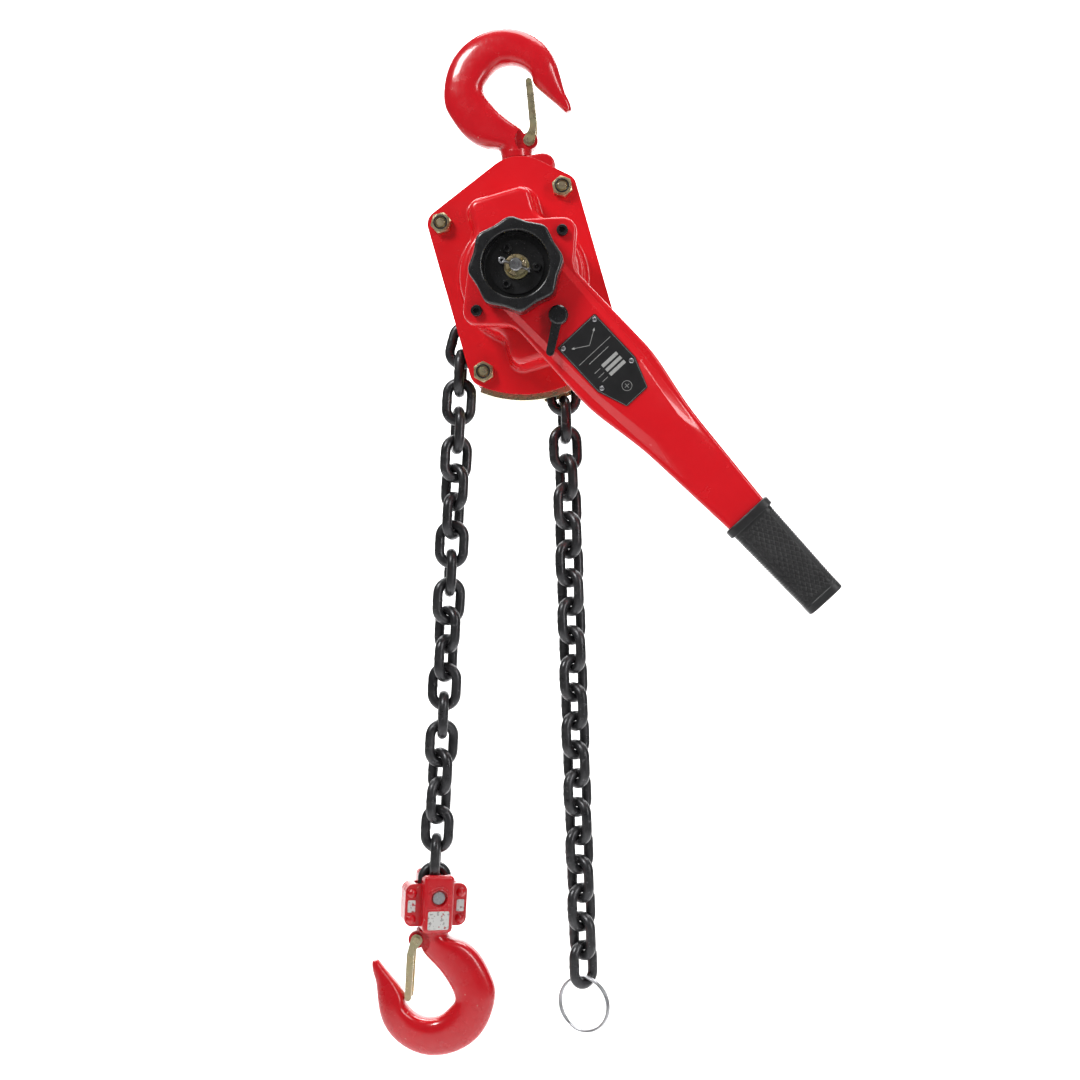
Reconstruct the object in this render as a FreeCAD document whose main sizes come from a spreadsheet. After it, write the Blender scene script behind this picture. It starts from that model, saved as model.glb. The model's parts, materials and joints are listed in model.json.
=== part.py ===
import FreeCAD, Part
import math
import os

import Sketcher
from FreeCAD import Placement, Rotation, Vector

# A lever chain hoist, hanging from its top hook. The origin is the saddle of the top hook,
# +Z is up, +X is to the right of someone facing the name plate and -Y points at that person.
# Depths of the hoist's own pieces are distances from its middle plane, y = 0.

SIZES = {
    # round-link chain
    "wire": 10, "link_inside": 28.3, "link_width": 34, "link_pitch": 28,
    "load_links": 20, "tail_links": 23, "load_lean": 2.96, "tail_lean": 1.99,
    "load_twist": 17.18, "tail_twist": 11.25, "tail_twist_limit": 45,
    # where the hoist hangs
    "sheave_x": 15.2, "sheave_z": -215.1, "housing_tilt": 16, "lever_tilt": 47.2,
    # side plates and stay bolts
    "plate_inner": 21, "plate_outer": 26, "plate_thick": 5, "flange_thick": 3, "flange_outer": 29,
    "corner_radius": 13.8, "bolt_across": 60.7, "bolt_along": 74.5, "bottom_radius": 109.55,
    "crown_radius": 40, "pin_across": 18.6, "pin_along": 77.4,
    "stud_radius": 4.8, "shoulder_radius": 7, "stud_hole": 9.8, "stud_end": 38,
    "nut_corner": 10.4, "nut_hex_top": 36, "nut_collar": 7.8, "nut_top": 38.4, "nut_mouth": 5.7,
    "roller_radius": 8.5, "roller_bore": 7.06, "roller_half": 20,
    # sheave, bearings and gears
    "sheave_radius": 40, "pitch_radius": 37, "first_pocket": 56.25, "sheave_half": 17.5, "pocket_floor": 26.2, "pocket_half_length": 24.6,
    "groove_half": 6, "groove_radius": 18.4, "journal_radius": 22, "journal_end": 27,
    "sheave_bore": 7.08, "spline_radius": 16, "spline_end": 42.4,
    "bearing_outer": 29, "bearing_inner": 26.12, "bearing_front": 20.4, "bearing_back": 26.8,
    "needle_radius": 2, "needle_circle": 24.06, "needles": 12,
    "module": 2, "gear_centres": 44, "shaft_teeth": 10, "wheel_teeth": 34,
    "pinion_teeth": 12, "load_gear_teeth": 32, "tooth_play": 0.2,
    "load_gear_front": 29.5, "load_gear_back": 39.5, "wheel_front": 43.5, "wheel_back": 53.5,
    "pinion_front": 29.4, "pinion_back": 41.6, "gear_journal": 6, "gear_journal_end": 62.4,
    "bush_outer": 9, "bush_bore": 6.06, "boss_front": 55.5, "case_inner": 63, "case_outer": 66,
    "case_radius": 41, "case_wall": 3, "shaft_bush_outer": 8, "shaft_bush_bore": 5.06,
    # drive shaft and brake
    "shaft_radius": 7, "thread_radius": 6, "shaft_tail_radius": 5, "shaft_front": 116, "shaft_turn": 36,
    "hub_back": 28, "hub_flange": 34, "hub_front": 44.9, "hub_radius": 14, "friction_radius": 31,
    "ratchet_back": 37, "ratchet_front": 42, "ratchet_radius": 36, "ratchet_root": 31,
    "ratchet_teeth": 15, "pressure_back": 45, "pressure_front": 50, "neck_radius": 21,
    "change_back": 71.9, "change_front": 84, "change_tip": 24, "change_root": 19,
    "change_teeth": 12, "change_hub": 15, "change_hub_front": 92.4,
    "pawl_across": 20, "pawl_along": 58, "stud_pin": 4, "pawl_bore": 4.06,
    "cover_dome": 62, "cover_wall": 2.5, "cover_mouth": 26, "lobe_half": 34, "lobe_length": 85,
    "lobe_corner": 14, "dome_radius": 62, "dome_blend": 12, "dome_edge": 7, "dome_foot": 4,
    # handwheel and castle nut
    "handwheel_back": 94, "handwheel_front": 118, "handwheel_floor": 97, "recess_radius": 30.5,
    "grip_lobes": 8, "first_lobe": 36, "lobe_circle": 32.5, "lobe_radius": 10.9, "valley_circle": 60,
    "valley_radius": 20, "handwheel_bore": 13.5, "disc_radius": 25, "disc_front": 101,
    "disc_bore": 12.3, "screw_circle": 18.7, "nut_back": 98.3, "nut_skirt": 103,
    "nut_front": 112, "nut_radius": 11.5, "castle_radius": 10, "slot_half": 1.7, "slot_floor": 107,
    # lever
    "lever_back": 69, "lever_split": 80, "lever_flange": 87, "lever_face": 92, "lever_end": 404,
    "ramp_start": 200,
    "shell_wall": 2.5, "ear_offset": 54, "ear_radius": 13, "head_radius": 47,
    "neck_hole": 21.08, "hub_hole": 15.08, "ear_screw_hole": 3.1,
    "grip_start": 308, "grip_end": 416, "grip_back": 66.6, "grip_front": 90.2,
    "selector_along": 58, "selector_across": 2, "selector_reach": 38.5, "selector_angle": 55.3,
    "plate_start": 79, "plate_shoulder": 133, "plate_end": 162, "name_plate_half": 23.5,
    "name_plate_tip": 13.4, "name_plate_thick": 1,
    # top yoke
    "yoke_half": 19, "yoke_top": 43, "pin_radius": 7, "yoke_bore": 7.06,
    "shank_radius": 10, "shank_bore": 10.07, "shank_head": 15, "head_height": 7,
    # hooks
    "bowl_drop": 25, "bowl_radius": 25, "hook_thick": 29, "neck_drop": 62, "hook_collar": 15.4,
    "top_shank": 19.4, "top_collar": 5.5, "load_shank": 10.2, "load_collar": 0.1,
    "latch_pivot_x": 13.9, "latch_pivot_z": -52.1, "lug_half": 6,
    "lug_radius": 8.5, "recess_reach": 13.5, "latch_pin": 3, "latch_bore": 3.06, "latch_cheek": 6.4, "latch_half": 9,
    # hook block at the end of the load chain
    "block_x": -74.9, "block_z": -812.95, "block_yaw": 22, "block_half_width": 31,
    "block_top": 22, "block_bottom": 34.3, "block_core": 15, "block_half": 21, "cheek_half": 9,
    "pin_recess": 8.2, "recess_floor": 17.5, "pin_end": 19.2,
    "ear_bottom": 29.5, "ear_top": 12, "rivet_across": 24.5, "rivet_low": -22.5, "rivet_high": 3,
    "chain_pin": 5.5, "chain_pin_bore": 5.56, "link_slot": 5.6, "slot_half_width": 18,
    "slot_flare": 29.5, "slot_foot": 16.3, "mouth_radius": 17.8, "mouth_along": 29.2,
    "bowl_below_pin": 96.8,
    # split ring on the tail chain
    "ring_radius": 26.2, "ring_wire": 1.3, "ring_yaw": -25,
}

doc = FreeCAD.newDocument("LeverChainHoist")
sheet = doc.addObject("Spreadsheet::Sheet", "Sizes")
for row, (alias, amount) in enumerate(SIZES.items(), start=1):
    sheet.set(f"A{row}", alias)
    sheet.set(f"B{row}", str(amount))
    sheet.setAlias(f"B{row}", alias)
doc.recompute()

PARTS = []
UP = Vector(0, 0, 1)
ACROSS = Vector(0, 1, 0)


def size(name):
    """A size from the sheet; a number stands for itself and a leading minus negates a size."""
    if not isinstance(name, str):
        return float(name)
    if name.startswith("-"):
        return -float(getattr(sheet, name[1:]))
    return float(getattr(sheet, name))


def cell(name):
    """The expression that binds a property to a size."""
    return f"-Sizes.{name[1:]}" if name.startswith("-") else f"Sizes.{name}"


def turned_about_y(x, z, degrees):
    """A placement in the hoist's middle plane."""
    return Placement(Vector(x, 0, z), Rotation(ACROSS, degrees))


SHEAVE = Placement(Vector(size("sheave_x"), 0, size("sheave_z")), Rotation())
HOUSING = turned_about_y(size("sheave_x"), size("sheave_z"), -size("housing_tilt"))
LEVER = turned_about_y(size("sheave_x"), size("sheave_z"), size("lever_tilt"))
PIVOT = HOUSING.multVec(Vector(size("pin_across"), 0, size("pin_along")))
BOWL = Vector(0, 0, -size("bowl_drop"))
HOOK_TILT = math.degrees(math.atan2(BOWL.x - PIVOT.x, BOWL.z - PIVOT.z))
YOKE = turned_about_y(PIVOT.x, PIVOT.z, HOOK_TILT)
TOP_HOOK = turned_about_y(BOWL.x, BOWL.z, HOOK_TILT)
SHAFT = HOUSING.multiply(Placement(Vector(), Rotation(ACROSS, size("shaft_turn"))))
HANGING = turned_about_y(size("block_x"), size("block_z"), size("load_lean"))
BLOCK = HANGING.multiply(Placement(Vector(), Rotation(UP, size("block_yaw"))))
LOAD_HOOK = HANGING.multiply(turned_about_y(0, -size("bowl_below_pin"), 180))
BOLTS = [(across * size("bolt_across"), along * size("bolt_along"))
         for across in (-1, 1) for along in (-1, 1)]
GEARS = [(0, -size("gear_centres")), (0, size("gear_centres"))]


# ---------------------------------------------------------------- outlines

def belt(circles):
    """Edges of a band drawn tight round circles (x, z, radius), taken anticlockwise.

    A negative radius is a hollow: the band passes it on its other side.
    """
    count = len(circles)
    leave, arrive = [None] * count, [None] * count
    for index, (x1, z1, r1) in enumerate(circles):
        x2, z2, r2 = circles[(index + 1) % count]
        gap = math.hypot(x2 - x1, z2 - z1)
        lean = max(-1.0, min(1.0, (r1 - r2) / gap))
        heading = math.atan2(z2 - z1, x2 - x1) + math.asin(lean)
        side = (math.sin(heading), -math.cos(heading))
        leave[index] = Vector(x1 + r1 * side[0], z1 + r1 * side[1], 0)
        arrive[(index + 1) % count] = Vector(x2 + r2 * side[0], z2 + r2 * side[1], 0)
    edges = []
    for index, (x, z, radius) in enumerate(circles):
        edges += round_corner(Vector(x, z, 0), radius, arrive[index], leave[index])
        following = arrive[(index + 1) % count]
        if leave[index].distanceToPoint(following) > 0.01:
            edges.append(Part.LineSegment(leave[index], following))
    return edges


def round_corner(centre, radius, start, end):
    """The arc of a band round one circle, or nothing at a sharp corner."""
    if start.distanceToPoint(end) < 0.01:
        return []
    first = math.atan2(start.y - centre.y, start.x - centre.x)
    last = math.atan2(end.y - centre.y, end.x - centre.x)
    sweep = (last - first) % (2 * math.pi)
    if radius < 0:
        sweep -= 2 * math.pi
    middle = first + sweep / 2
    way = Vector(math.cos(middle), math.sin(middle), 0)
    return [Part.Arc(start, centre + way * abs(radius), end)]


def block_outline(left, right, bottom, top, radius):
    """A rounded rectangle as a band round four circles."""
    return belt([(left + radius, bottom + radius, radius), (right - radius, bottom + radius, radius),
                 (right - radius, top - radius, radius), (left + radius, top - radius, radius)])


def circle_at(x, z, radius):
    return Part.Circle(Vector(x, z, 0), UP, radius)


def closed(points):
    """Straight edges round a list of points."""
    return [Part.LineSegment(point, following) for point, following in zip(points, points[1:] + points[:1])]


def six_sided(corner, first=0):
    """A hexagon with its corners at a radius, the first at an angle from +X."""
    angles = [math.radians(first + step) for step in range(0, 360, 60)]
    return closed([Vector(corner * math.cos(angle), corner * math.sin(angle), 0) for angle in angles])


def toothed(teeth, root, flanks, turn=0.0):
    """A wheel's outline from one tooth's points, as (radius, angle) pairs in order."""
    edges = []
    step = 2 * math.pi / teeth

    def place(radius, angle):
        return Vector(radius * math.sin(angle), radius * math.cos(angle), 0)

    for index in range(teeth):
        base = turn + index * step
        ring = [place(radius, base + angle) for radius, angle in flanks]
        following = place(flanks[0][0], base + step + flanks[0][1])
        for first, second in zip(ring[:-1], ring[1:]):
            edges.append(Part.LineSegment(first, second))
        valley = base + (flanks[-1][1] + step + flanks[0][1]) / 2
        edges.append(Part.Arc(ring[-1], place(root, valley), following))
    return edges


def involute_angle(base_radius, radius):
    """How far an involute has turned from its base circle at a radius."""
    if radius <= base_radius:
        return 0.0
    pressure = math.acos(base_radius / radius)
    return math.tan(pressure) - pressure


def gear_outline(teeth, tip, root, turn=0.0):
    """A spur gear with 20 degree involute flanks; a tooth points at +Z when turn is 0."""
    pitch = size("module") * teeth / 2
    base = pitch * math.cos(math.radians(20))
    half_tooth = (math.pi * size("module") / 2 - size("tooth_play")) / 2 / pitch
    half_base = half_tooth + involute_angle(base, pitch)
    start = max(base, root + 0.05)
    radii = [start + (tip - start) * part for part in (0, 0.25, 0.5, 0.75, 1)]
    rise = [(radius, -(half_base - involute_angle(base, radius))) for radius in radii]
    if start > root + 0.1:
        rise.insert(0, (root, rise[0][1]))
    fall = [(radius, -angle) for radius, angle in reversed(rise)]
    return toothed(teeth, root, rise + fall, turn)


# ---------------------------------------------------------------- building pieces

def new_body(name, placement=None):
    """A PartDesign body for one sub-part, labelled with its node's name."""
    body = doc.addObject("PartDesign::Body", name)
    body.Label = name
    body.Placement = placement or Placement()
    return body


def keep(item):
    PARTS.append(item)
    return item


def sketch_on(body, name, role="XZ_Plane", depth=None):
    """A sketch on one of the body's own planes, moved along that plane's normal by a size."""
    sketch = body.newObject("Sketcher::SketchObject", name)
    plane = next(item for item in body.Origin.OriginFeatures if item.Role == role)
    sketch.AttachmentSupport = [(plane, "")]
    sketch.MapMode = "FlatFace"
    if depth is not None:
        sketch.setExpression("AttachmentOffset.Base.z", cell(depth))
    return sketch


def draw(sketch, edges):
    for edge in edges:
        sketch.addGeometry(edge, False)


def bind(sketch, constraint, name):
    """Add a constraint and tie it to the sheet when it is given by a size's name."""
    index = sketch.addConstraint(constraint)
    if isinstance(name, str):
        sketch.setExpression(f"Constraints[{index}]", cell(name))


def hole(sketch, x, z, radius):
    """A circle whose radius is bound to the sheet."""
    index = sketch.addGeometry(circle_at(x, z, size(radius)), False)
    bind(sketch, Sketcher.Constraint("Radius", index, size(radius)), radius)
    sketch.addConstraint(Sketcher.Constraint("DistanceX", -1, 1, index, 3, x))
    sketch.addConstraint(Sketcher.Constraint("DistanceY", -1, 1, index, 3, z))


def pad(body, sketch, length, taper=0):
    """Raise a sketch towards the front by a size."""
    feature = body.newObject("PartDesign::Pad", f"{sketch.Name}_pad")
    feature.Profile = sketch
    if isinstance(length, str):
        feature.setExpression("Length", length)
    else:
        feature.Length = length
    feature.TaperAngle = taper
    sketch.Visibility = False
    return feature


def pocket(body, sketch, length, forwards=False, taper=0):
    """Cut a sketch away, towards the back unless forwards is set."""
    feature = body.newObject("PartDesign::Pocket", f"{sketch.Name}_pocket")
    feature.Profile = sketch
    if isinstance(length, str):
        feature.setExpression("Length", length)
    else:
        feature.Length = length
    feature.Reversed = forwards
    feature.TaperAngle = taper
    sketch.Visibility = False
    return feature


def soften(body, radius, chosen):
    """Fillet the edges of the body's tip that a test picks out."""
    doc.recompute()
    base = body.Tip
    names = [f"Edge{index}" for index, edge in enumerate(base.Shape.Edges, start=1) if chosen(edge)]
    if not names:
        raise RuntimeError(f"{body.Label}: no edge to round")
    feature = body.newObject("PartDesign::Fillet", f"{body.Name}_round_{len(body.Group)}")
    feature.Base = (base, names)
    feature.Radius = radius
    doc.recompute()
    return feature


def at_depth(y, within=1e6, beside=1e6):
    """Picks edges that lie wholly at one depth, no further out than the limits."""
    def chosen(edge):
        box = edge.BoundBox
        middle = edge.valueAt((edge.FirstParameter + edge.LastParameter) / 2)
        flat = abs(box.YMin - y) < 0.01 and abs(box.YMax - y) < 0.01
        return flat and math.hypot(middle.x, middle.z) < within and abs(middle.x) < beside
    return chosen


def turned(name, profile, placement=None, kept=True):
    """A body turned about its own Y axis from (radius, depth) corners given as sizes."""
    body = new_body(name, placement)
    sketch = sketch_on(body, f"{name}_profile", "XY_Plane")
    count = len(profile)
    corners = [Vector(size(radius), size(depth), 0) for radius, depth in profile]
    for index, corner in enumerate(corners):
        sketch.addGeometry(Part.LineSegment(corner, corners[(index + 1) % count]), False)
    for index in range(count):
        sketch.addConstraint(Sketcher.Constraint("Coincident", index, 2, (index + 1) % count, 1))
    for index, (radius, depth) in enumerate(profile):
        for kind, amount in (("DistanceX", radius), ("DistanceY", depth)):
            bind(sketch, Sketcher.Constraint(kind, -1, 1, index, 1, size(amount)), amount)
    feature = body.newObject("PartDesign::Revolution", f"{name}_turned")
    feature.Profile = sketch
    feature.ReferenceAxis = (sketch, ["V_Axis"])
    feature.Angle = 360
    sketch.Visibility = False
    return keep(body) if kept else body


def feature_of(name, shape, placement=None):
    """A sub-part whose shape is made by Part's own functions."""
    item = doc.addObject("Part::Feature", name)
    item.Label = name
    item.Shape = shape
    item.Placement = placement or Placement()
    return keep(item)


def copies(name, pattern, places, placement=None):
    """One node of identical separate solids, copied from a pattern body."""
    doc.recompute()
    shape = pattern.Shape.copy()
    shape.Placement = Placement()
    solids = []
    for place in places:
        solid = shape.copy()
        solid.Placement = place
        solids.append(solid)
    return feature_of(name, Part.makeCompound(solids), placement)


def rod(radius, start, end):
    """A round bar between two points."""
    way = end - start
    return Part.makeCylinder(radius, way.Length, start, way)


def prism(edges, back, front):
    """A closed outline in the XZ plane carried from one depth to another."""
    wire = Part.Wire(Part.__sortEdges__([edge.toShape() for edge in edges]))
    face = Part.Face(wire)
    face.rotate(Vector(0, 0, 0), Vector(1, 0, 0), 90)
    face.translate(Vector(0, back, 0))
    return face.extrude(Vector(0, front - back, 0))


# ---------------------------------------------------------------- housing

def plate_outline():
    """Four rounded corners round the stay bolts, a crown round the top pin and a bowed foot."""
    across, along, corner = size("bolt_across"), size("bolt_along"), size("corner_radius")
    foot = size("bottom_radius")
    foot_centre = -along + math.sqrt((foot - corner) ** 2 - across ** 2)
    return belt([
        (across, along, corner), (size("pin_across"), size("pin_along"), size("crown_radius")),
        (-across, along, corner), (-across, -along, corner),
        (0, foot_centre, foot), (across, -along, corner),
    ])


def side_plate(name, depth, gear_bushes):
    body = new_body(name, HOUSING)
    sketch = sketch_on(body, f"{name}_outline", depth=depth)
    draw(sketch, plate_outline())
    hole(sketch, 0, 0, "bearing_outer")
    hole(sketch, size("pin_across"), size("pin_along"), "yoke_bore")
    for across, along in BOLTS:
        draw(sketch, [circle_at(across, along, size("stud_hole") / 2)])
    if gear_bushes:
        for across, along in GEARS:
            hole(sketch, across, along, "bush_outer")
    else:
        for side in (-1, 1):
            hole(sketch, side * size("pawl_across"), side * size("pawl_along"), "stud_pin")
    pad(body, sketch, "Sizes.plate_thick")
    return keep(body)


def dome_outline(inset=0.0):
    """The brake cover's dome: a round middle with a wide lobe above and below it."""
    side, end = size("lobe_half"), size("lobe_length")
    corner, dome, blend = size("lobe_corner"), size("dome_radius"), size("dome_blend")
    blend_across = side + blend
    blend_along = math.sqrt((dome + blend) ** 2 - blend_across ** 2)
    across, along = side - corner, end - corner
    corner, dome, blend = corner - inset, dome - inset, -blend - inset
    return belt([
        (across, along, corner), (-across, along, corner), (-blend_across, blend_along, blend),
        (0, 0, dome), (-blend_across, -blend_along, blend), (-across, -along, corner),
        (across, -along, corner), (blend_across, -blend_along, blend), (0, 0, dome),
        (blend_across, blend_along, blend),
    ])


def brake_cover():
    body = new_body("brake_cover", HOUSING)
    flange = sketch_on(body, "cover_flange", depth="plate_outer")
    draw(flange, plate_outline())
    for across, along in BOLTS:
        draw(flange, [circle_at(across, along, size("stud_hole") / 2)])
    pad(body, flange, "Sizes.flange_thick")
    dome = sketch_on(body, "cover_dome_outline", depth="plate_outer")
    draw(dome, dome_outline())
    pad(body, dome, "Sizes.cover_dome - Sizes.plate_outer", taper=-7)
    soften(body, size("dome_edge"), at_depth(-size("cover_dome")))
    soften(body, size("dome_foot"), at_depth(-size("flange_outer"), within=88, beside=70))
    inside = sketch_on(body, "cover_inside", depth="plate_outer")
    draw(inside, dome_outline(size("cover_wall")))
    pocket(body, inside, "Sizes.cover_dome - Sizes.plate_outer - Sizes.cover_wall", forwards=True,
           taper=-7)
    mouth = sketch_on(body, "cover_mouth_circle", depth="cover_dome")
    hole(mouth, 0, 0, "cover_mouth")
    pocket(body, mouth, "Sizes.cover_wall * 2")
    return keep(body)


def gear_case():
    radius, centres = size("case_radius"), size("gear_centres")
    body = new_body("gear_case", HOUSING)
    flange = sketch_on(body, "case_flange", depth="-flange_outer")
    draw(flange, plate_outline())
    for across, along in BOLTS:
        draw(flange, [circle_at(across, along, size("stud_hole") / 2)])
    pad(body, flange, "Sizes.flange_thick")
    drum = sketch_on(body, "case_drum", depth="-case_outer")
    draw(drum, belt([(0, -centres, radius), (0, centres, radius)]))
    pad(body, drum, "Sizes.case_outer - Sizes.plate_outer")
    soften(body, 6, at_depth(size("case_outer")))
    soften(body, 4, at_depth(size("flange_outer"), within=86, beside=70))
    inner = radius - size("case_wall")
    inside = sketch_on(body, "case_inside", depth="-plate_outer")
    draw(inside, belt([(0, -centres, inner), (0, centres, inner)]))
    pocket(body, inside, "Sizes.case_inner - Sizes.plate_outer")
    bosses = sketch_on(body, "case_bosses", depth="-case_inner")
    for across, along in GEARS:
        draw(bosses, [circle_at(across, along, size("bush_outer") + 3)])
        hole(bosses, across, along, "bush_outer")
    draw(bosses, [circle_at(0, 0, size("shaft_bush_outer") + 3)])
    hole(bosses, 0, 0, "shaft_bush_outer")
    pad(body, bosses, "Sizes.case_inner - Sizes.boss_front")
    return keep(body)


def stay_bolts():
    """Shouldered studs: the shoulders hold the side plates apart."""
    bolt = turned("stay_bolt_pattern", [
        (0, "-stud_end"), (3.8, "-stud_end"), ("stud_radius", -37), ("stud_radius", "-plate_inner"),
        ("shoulder_radius", "-plate_inner"), ("shoulder_radius", "plate_inner"),
        ("stud_radius", "plate_inner"), ("stud_radius", 37), (3.8, "stud_end"), (0, "stud_end"),
    ], kept=False)
    places = [Placement(Vector(across, 0, along), Rotation()) for across, along in BOLTS]
    return copies("stay_bolts", bolt, places, HOUSING)


def lock_nut():
    """A lock nut: a chamfered hexagon with a round collar, seated on the flange."""
    body = new_body("lock_nut_pattern")
    hexagon = sketch_on(body, "nut_hexagon", depth="flange_outer")
    draw(hexagon, six_sided(size("nut_corner"), 15))
    pad(body, hexagon, "Sizes.nut_hex_top - Sizes.flange_outer")
    collar = sketch_on(body, "nut_collar_circle", depth="nut_hex_top")
    hole(collar, 0, 0, "nut_collar")
    pad(body, collar, "Sizes.nut_top - Sizes.nut_hex_top")
    profile = sketch_on(body, "nut_chamfer_profile", "XY_Plane")
    top, rim = -size("nut_hex_top"), size("nut_corner")
    triangle = [Vector(rim - 1.6, top, 0), Vector(rim + 1, top, 0), Vector(rim + 1, top + 1.6, 0)]
    draw(profile, closed(triangle))
    chamfer = body.newObject("PartDesign::Groove", "nut_chamfer")
    chamfer.Profile = profile
    chamfer.ReferenceAxis = (profile, ["V_Axis"])
    chamfer.Angle = 360
    bore = sketch_on(body, "nut_bore", depth="nut_top")
    hole(bore, 0, 0, "stud_radius")
    pocket(body, bore, "Sizes.nut_top - Sizes.flange_outer")
    mouth = sketch_on(body, "nut_mouth_circle", depth="nut_top")
    hole(mouth, 0, 0, "nut_mouth")
    pocket(body, mouth, 2)
    return body


def stay_nuts():
    places = []
    for index, (across, along) in enumerate(BOLTS):
        for side in (0, 180):
            turn = Rotation(ACROSS, 17 * index) * Rotation(UP, side)
            places.append(Placement(Vector(across, 0, along), turn))
    return copies("stay_nuts", lock_nut(), places, HOUSING)


def guide_rollers():
    """Loose rollers on the two lower stay bolts, which the chain runs against."""
    roller = turned("guide_roller_pattern", [
        ("roller_bore", "-roller_half"), ("roller_radius", "-roller_half"),
        ("roller_radius", "roller_half"), ("roller_bore", "roller_half"),
    ], kept=False)
    places = [Placement(Vector(across, 0, along), Rotation()) for across, along in BOLTS if along < 0]
    return copies("guide_rollers", roller, places, HOUSING)


def chain_guide():
    """A bowed foot plate between the side plates, with a mouth for the tail chain."""
    body = new_body("chain_guide_plate", HOUSING)
    bow = sketch_on(body, "guide_bow", depth="-roller_half")
    foot = size("bottom_radius")
    centre = -size("bolt_along") + math.sqrt((foot - size("corner_radius")) ** 2
                                             - size("bolt_across") ** 2)
    inner, outer = foot - 4, foot + 5

    def on(radius, degrees):
        angle = math.radians(degrees)
        return Vector(radius * math.cos(angle), centre + radius * math.sin(angle), 0)

    start, end = -128, -50
    draw(bow, [
        Part.Arc(on(inner, start), on(inner, (start + end) / 2), on(inner, end)),
        Part.LineSegment(on(inner, end), on(outer, end)),
        Part.Arc(on(outer, end), on(outer, (start + end) / 2), on(outer, start)),
        Part.LineSegment(on(outer, start), on(inner, start)),
    ])
    pad(body, bow, "Sizes.roller_half * 2")
    mouth = sketch_on(body, "guide_mouth", "XY_Plane")
    draw(mouth, block_outline(-13, 30, -17.9, 17.9, 6))
    pocket(body, mouth, size("bottom_radius") + 20)
    return keep(body)


def chain_stripper():
    """A finger in the sheave's groove that peels the chain off, on a bar between the plates."""
    bar = prism(block_outline(-13, 13, -62, -47, 5), size("plate_inner"), -size("plate_inner"))
    finger = prism(block_outline(-6, 6, -60, -20, 4), 4.2, -4.2)
    return feature_of("chain_stripper", bar.fuse(finger).removeSplitter(), SHEAVE)


def bearing_rings():
    ring = turned("bearing_ring_pattern", [
        ("bearing_inner", "-bearing_back"), ("bearing_outer", "-bearing_back"),
        ("bearing_outer", "-bearing_front"), ("bearing_inner", "-bearing_front"),
    ], kept=False)
    places = [Placement(), Placement(Vector(), Rotation(UP, 180))]
    return copies("bearing_rings", ring, places, HOUSING)


def bearing_needles():
    """Rollers between the sheave's journals and the rings."""
    solids = []
    count = int(size("needles"))
    for side in (-1, 1):
        for index in range(count):
            angle = 2 * math.pi * index / count
            x, z = size("needle_circle") * math.cos(angle), size("needle_circle") * math.sin(angle)
            ends = [Vector(x, side * size(end), z) for end in ("bearing_front", "bearing_back")]
            solids.append(rod(size("needle_radius"), *ends))
    return feature_of("bearing_needles", Part.makeCompound(solids), HOUSING)


def gear_bushes():
    """Plain bushes: two in the rear plate, two in the gear case and one for the shaft's tail."""
    solids = []
    for across, along in GEARS:
        for front, back in (("plate_inner", "plate_outer"), ("boss_front", "case_inner")):
            ends = [Vector(across, size(front), along), Vector(across, size(back), along)]
            solids.append(rod(size("bush_outer"), *ends).cut(rod(size("bush_bore"), *ends)))
    ends = [Vector(0, size("boss_front"), 0), Vector(0, size("case_inner"), 0)]
    solids.append(rod(size("shaft_bush_outer"), *ends).cut(rod(size("shaft_bush_bore"), *ends)))
    return feature_of("gear_bushes", Part.makeCompound(solids), HOUSING)


def top_pin():
    place = Placement(PIVOT, Rotation())
    return turned("top_pin", [
        (0, -25.8), (6.4, -25.8), ("pin_radius", -25.2), ("pin_radius", 25.2), (6.4, 25.8), (0, 25.8),
    ], place)


# ---------------------------------------------------------------- load sheave and gears

def load_sheave():
    """A four-pocket load sheave: links lie in the pockets and stand in the groove by turns."""
    body = turned("load_sheave", [
        ("sheave_bore", "-journal_end"), ("journal_radius", "-journal_end"),
        ("journal_radius", "-sheave_half"), ("sheave_radius", "-sheave_half"),
        ("sheave_radius", "-groove_half"), ("groove_radius", "-groove_half"),
        ("groove_radius", "groove_half"), ("sheave_radius", "groove_half"),
        ("sheave_radius", "sheave_half"), ("journal_radius", "sheave_half"),
        ("journal_radius", "journal_end"), ("spline_radius", "journal_end"),
        ("spline_radius", "spline_end"), ("sheave_bore", "spline_end"),
    ], Placement(SHEAVE.Base, Rotation(ACROSS, -size("first_pocket"))))
    half, side = size("pocket_half_length"), size("sheave_half") + 0.2
    sides = (("XY_Plane", False), ("XY_Plane", True), ("YZ_Plane", False), ("YZ_Plane", True))
    for index, (role, opposite) in enumerate(sides):
        plan = sketch_on(body, f"pocket_plan_{index}", role)
        if role == "XY_Plane":
            draw(plan, belt([(-half + side, 0, side), (half - side, 0, side)]))
        else:
            draw(plan, belt([(0, -half + side, side), (0, half - side, side)]))
        away = "-" if opposite else ""
        plan.setExpression("AttachmentOffset.Base.z", f"{away}Sizes.pocket_floor")
        pocket(body, plan, "Sizes.sheave_radius", forwards=not opposite)
    return body


def load_gear():
    """The load gear on the sheave's spline."""
    pitch = size("module") * size("load_gear_teeth") / 2
    body = new_body("load_gear", HOUSING)
    outline = sketch_on(body, "load_gear_outline", depth="-load_gear_back")
    teeth = int(size("load_gear_teeth"))
    draw(outline, gear_outline(teeth, pitch + 1.2, pitch - 2.5, math.pi / teeth))
    hole(outline, 0, 0, "spline_radius")
    pad(body, outline, "Sizes.load_gear_back - Sizes.load_gear_front")
    return keep(body)


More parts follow.
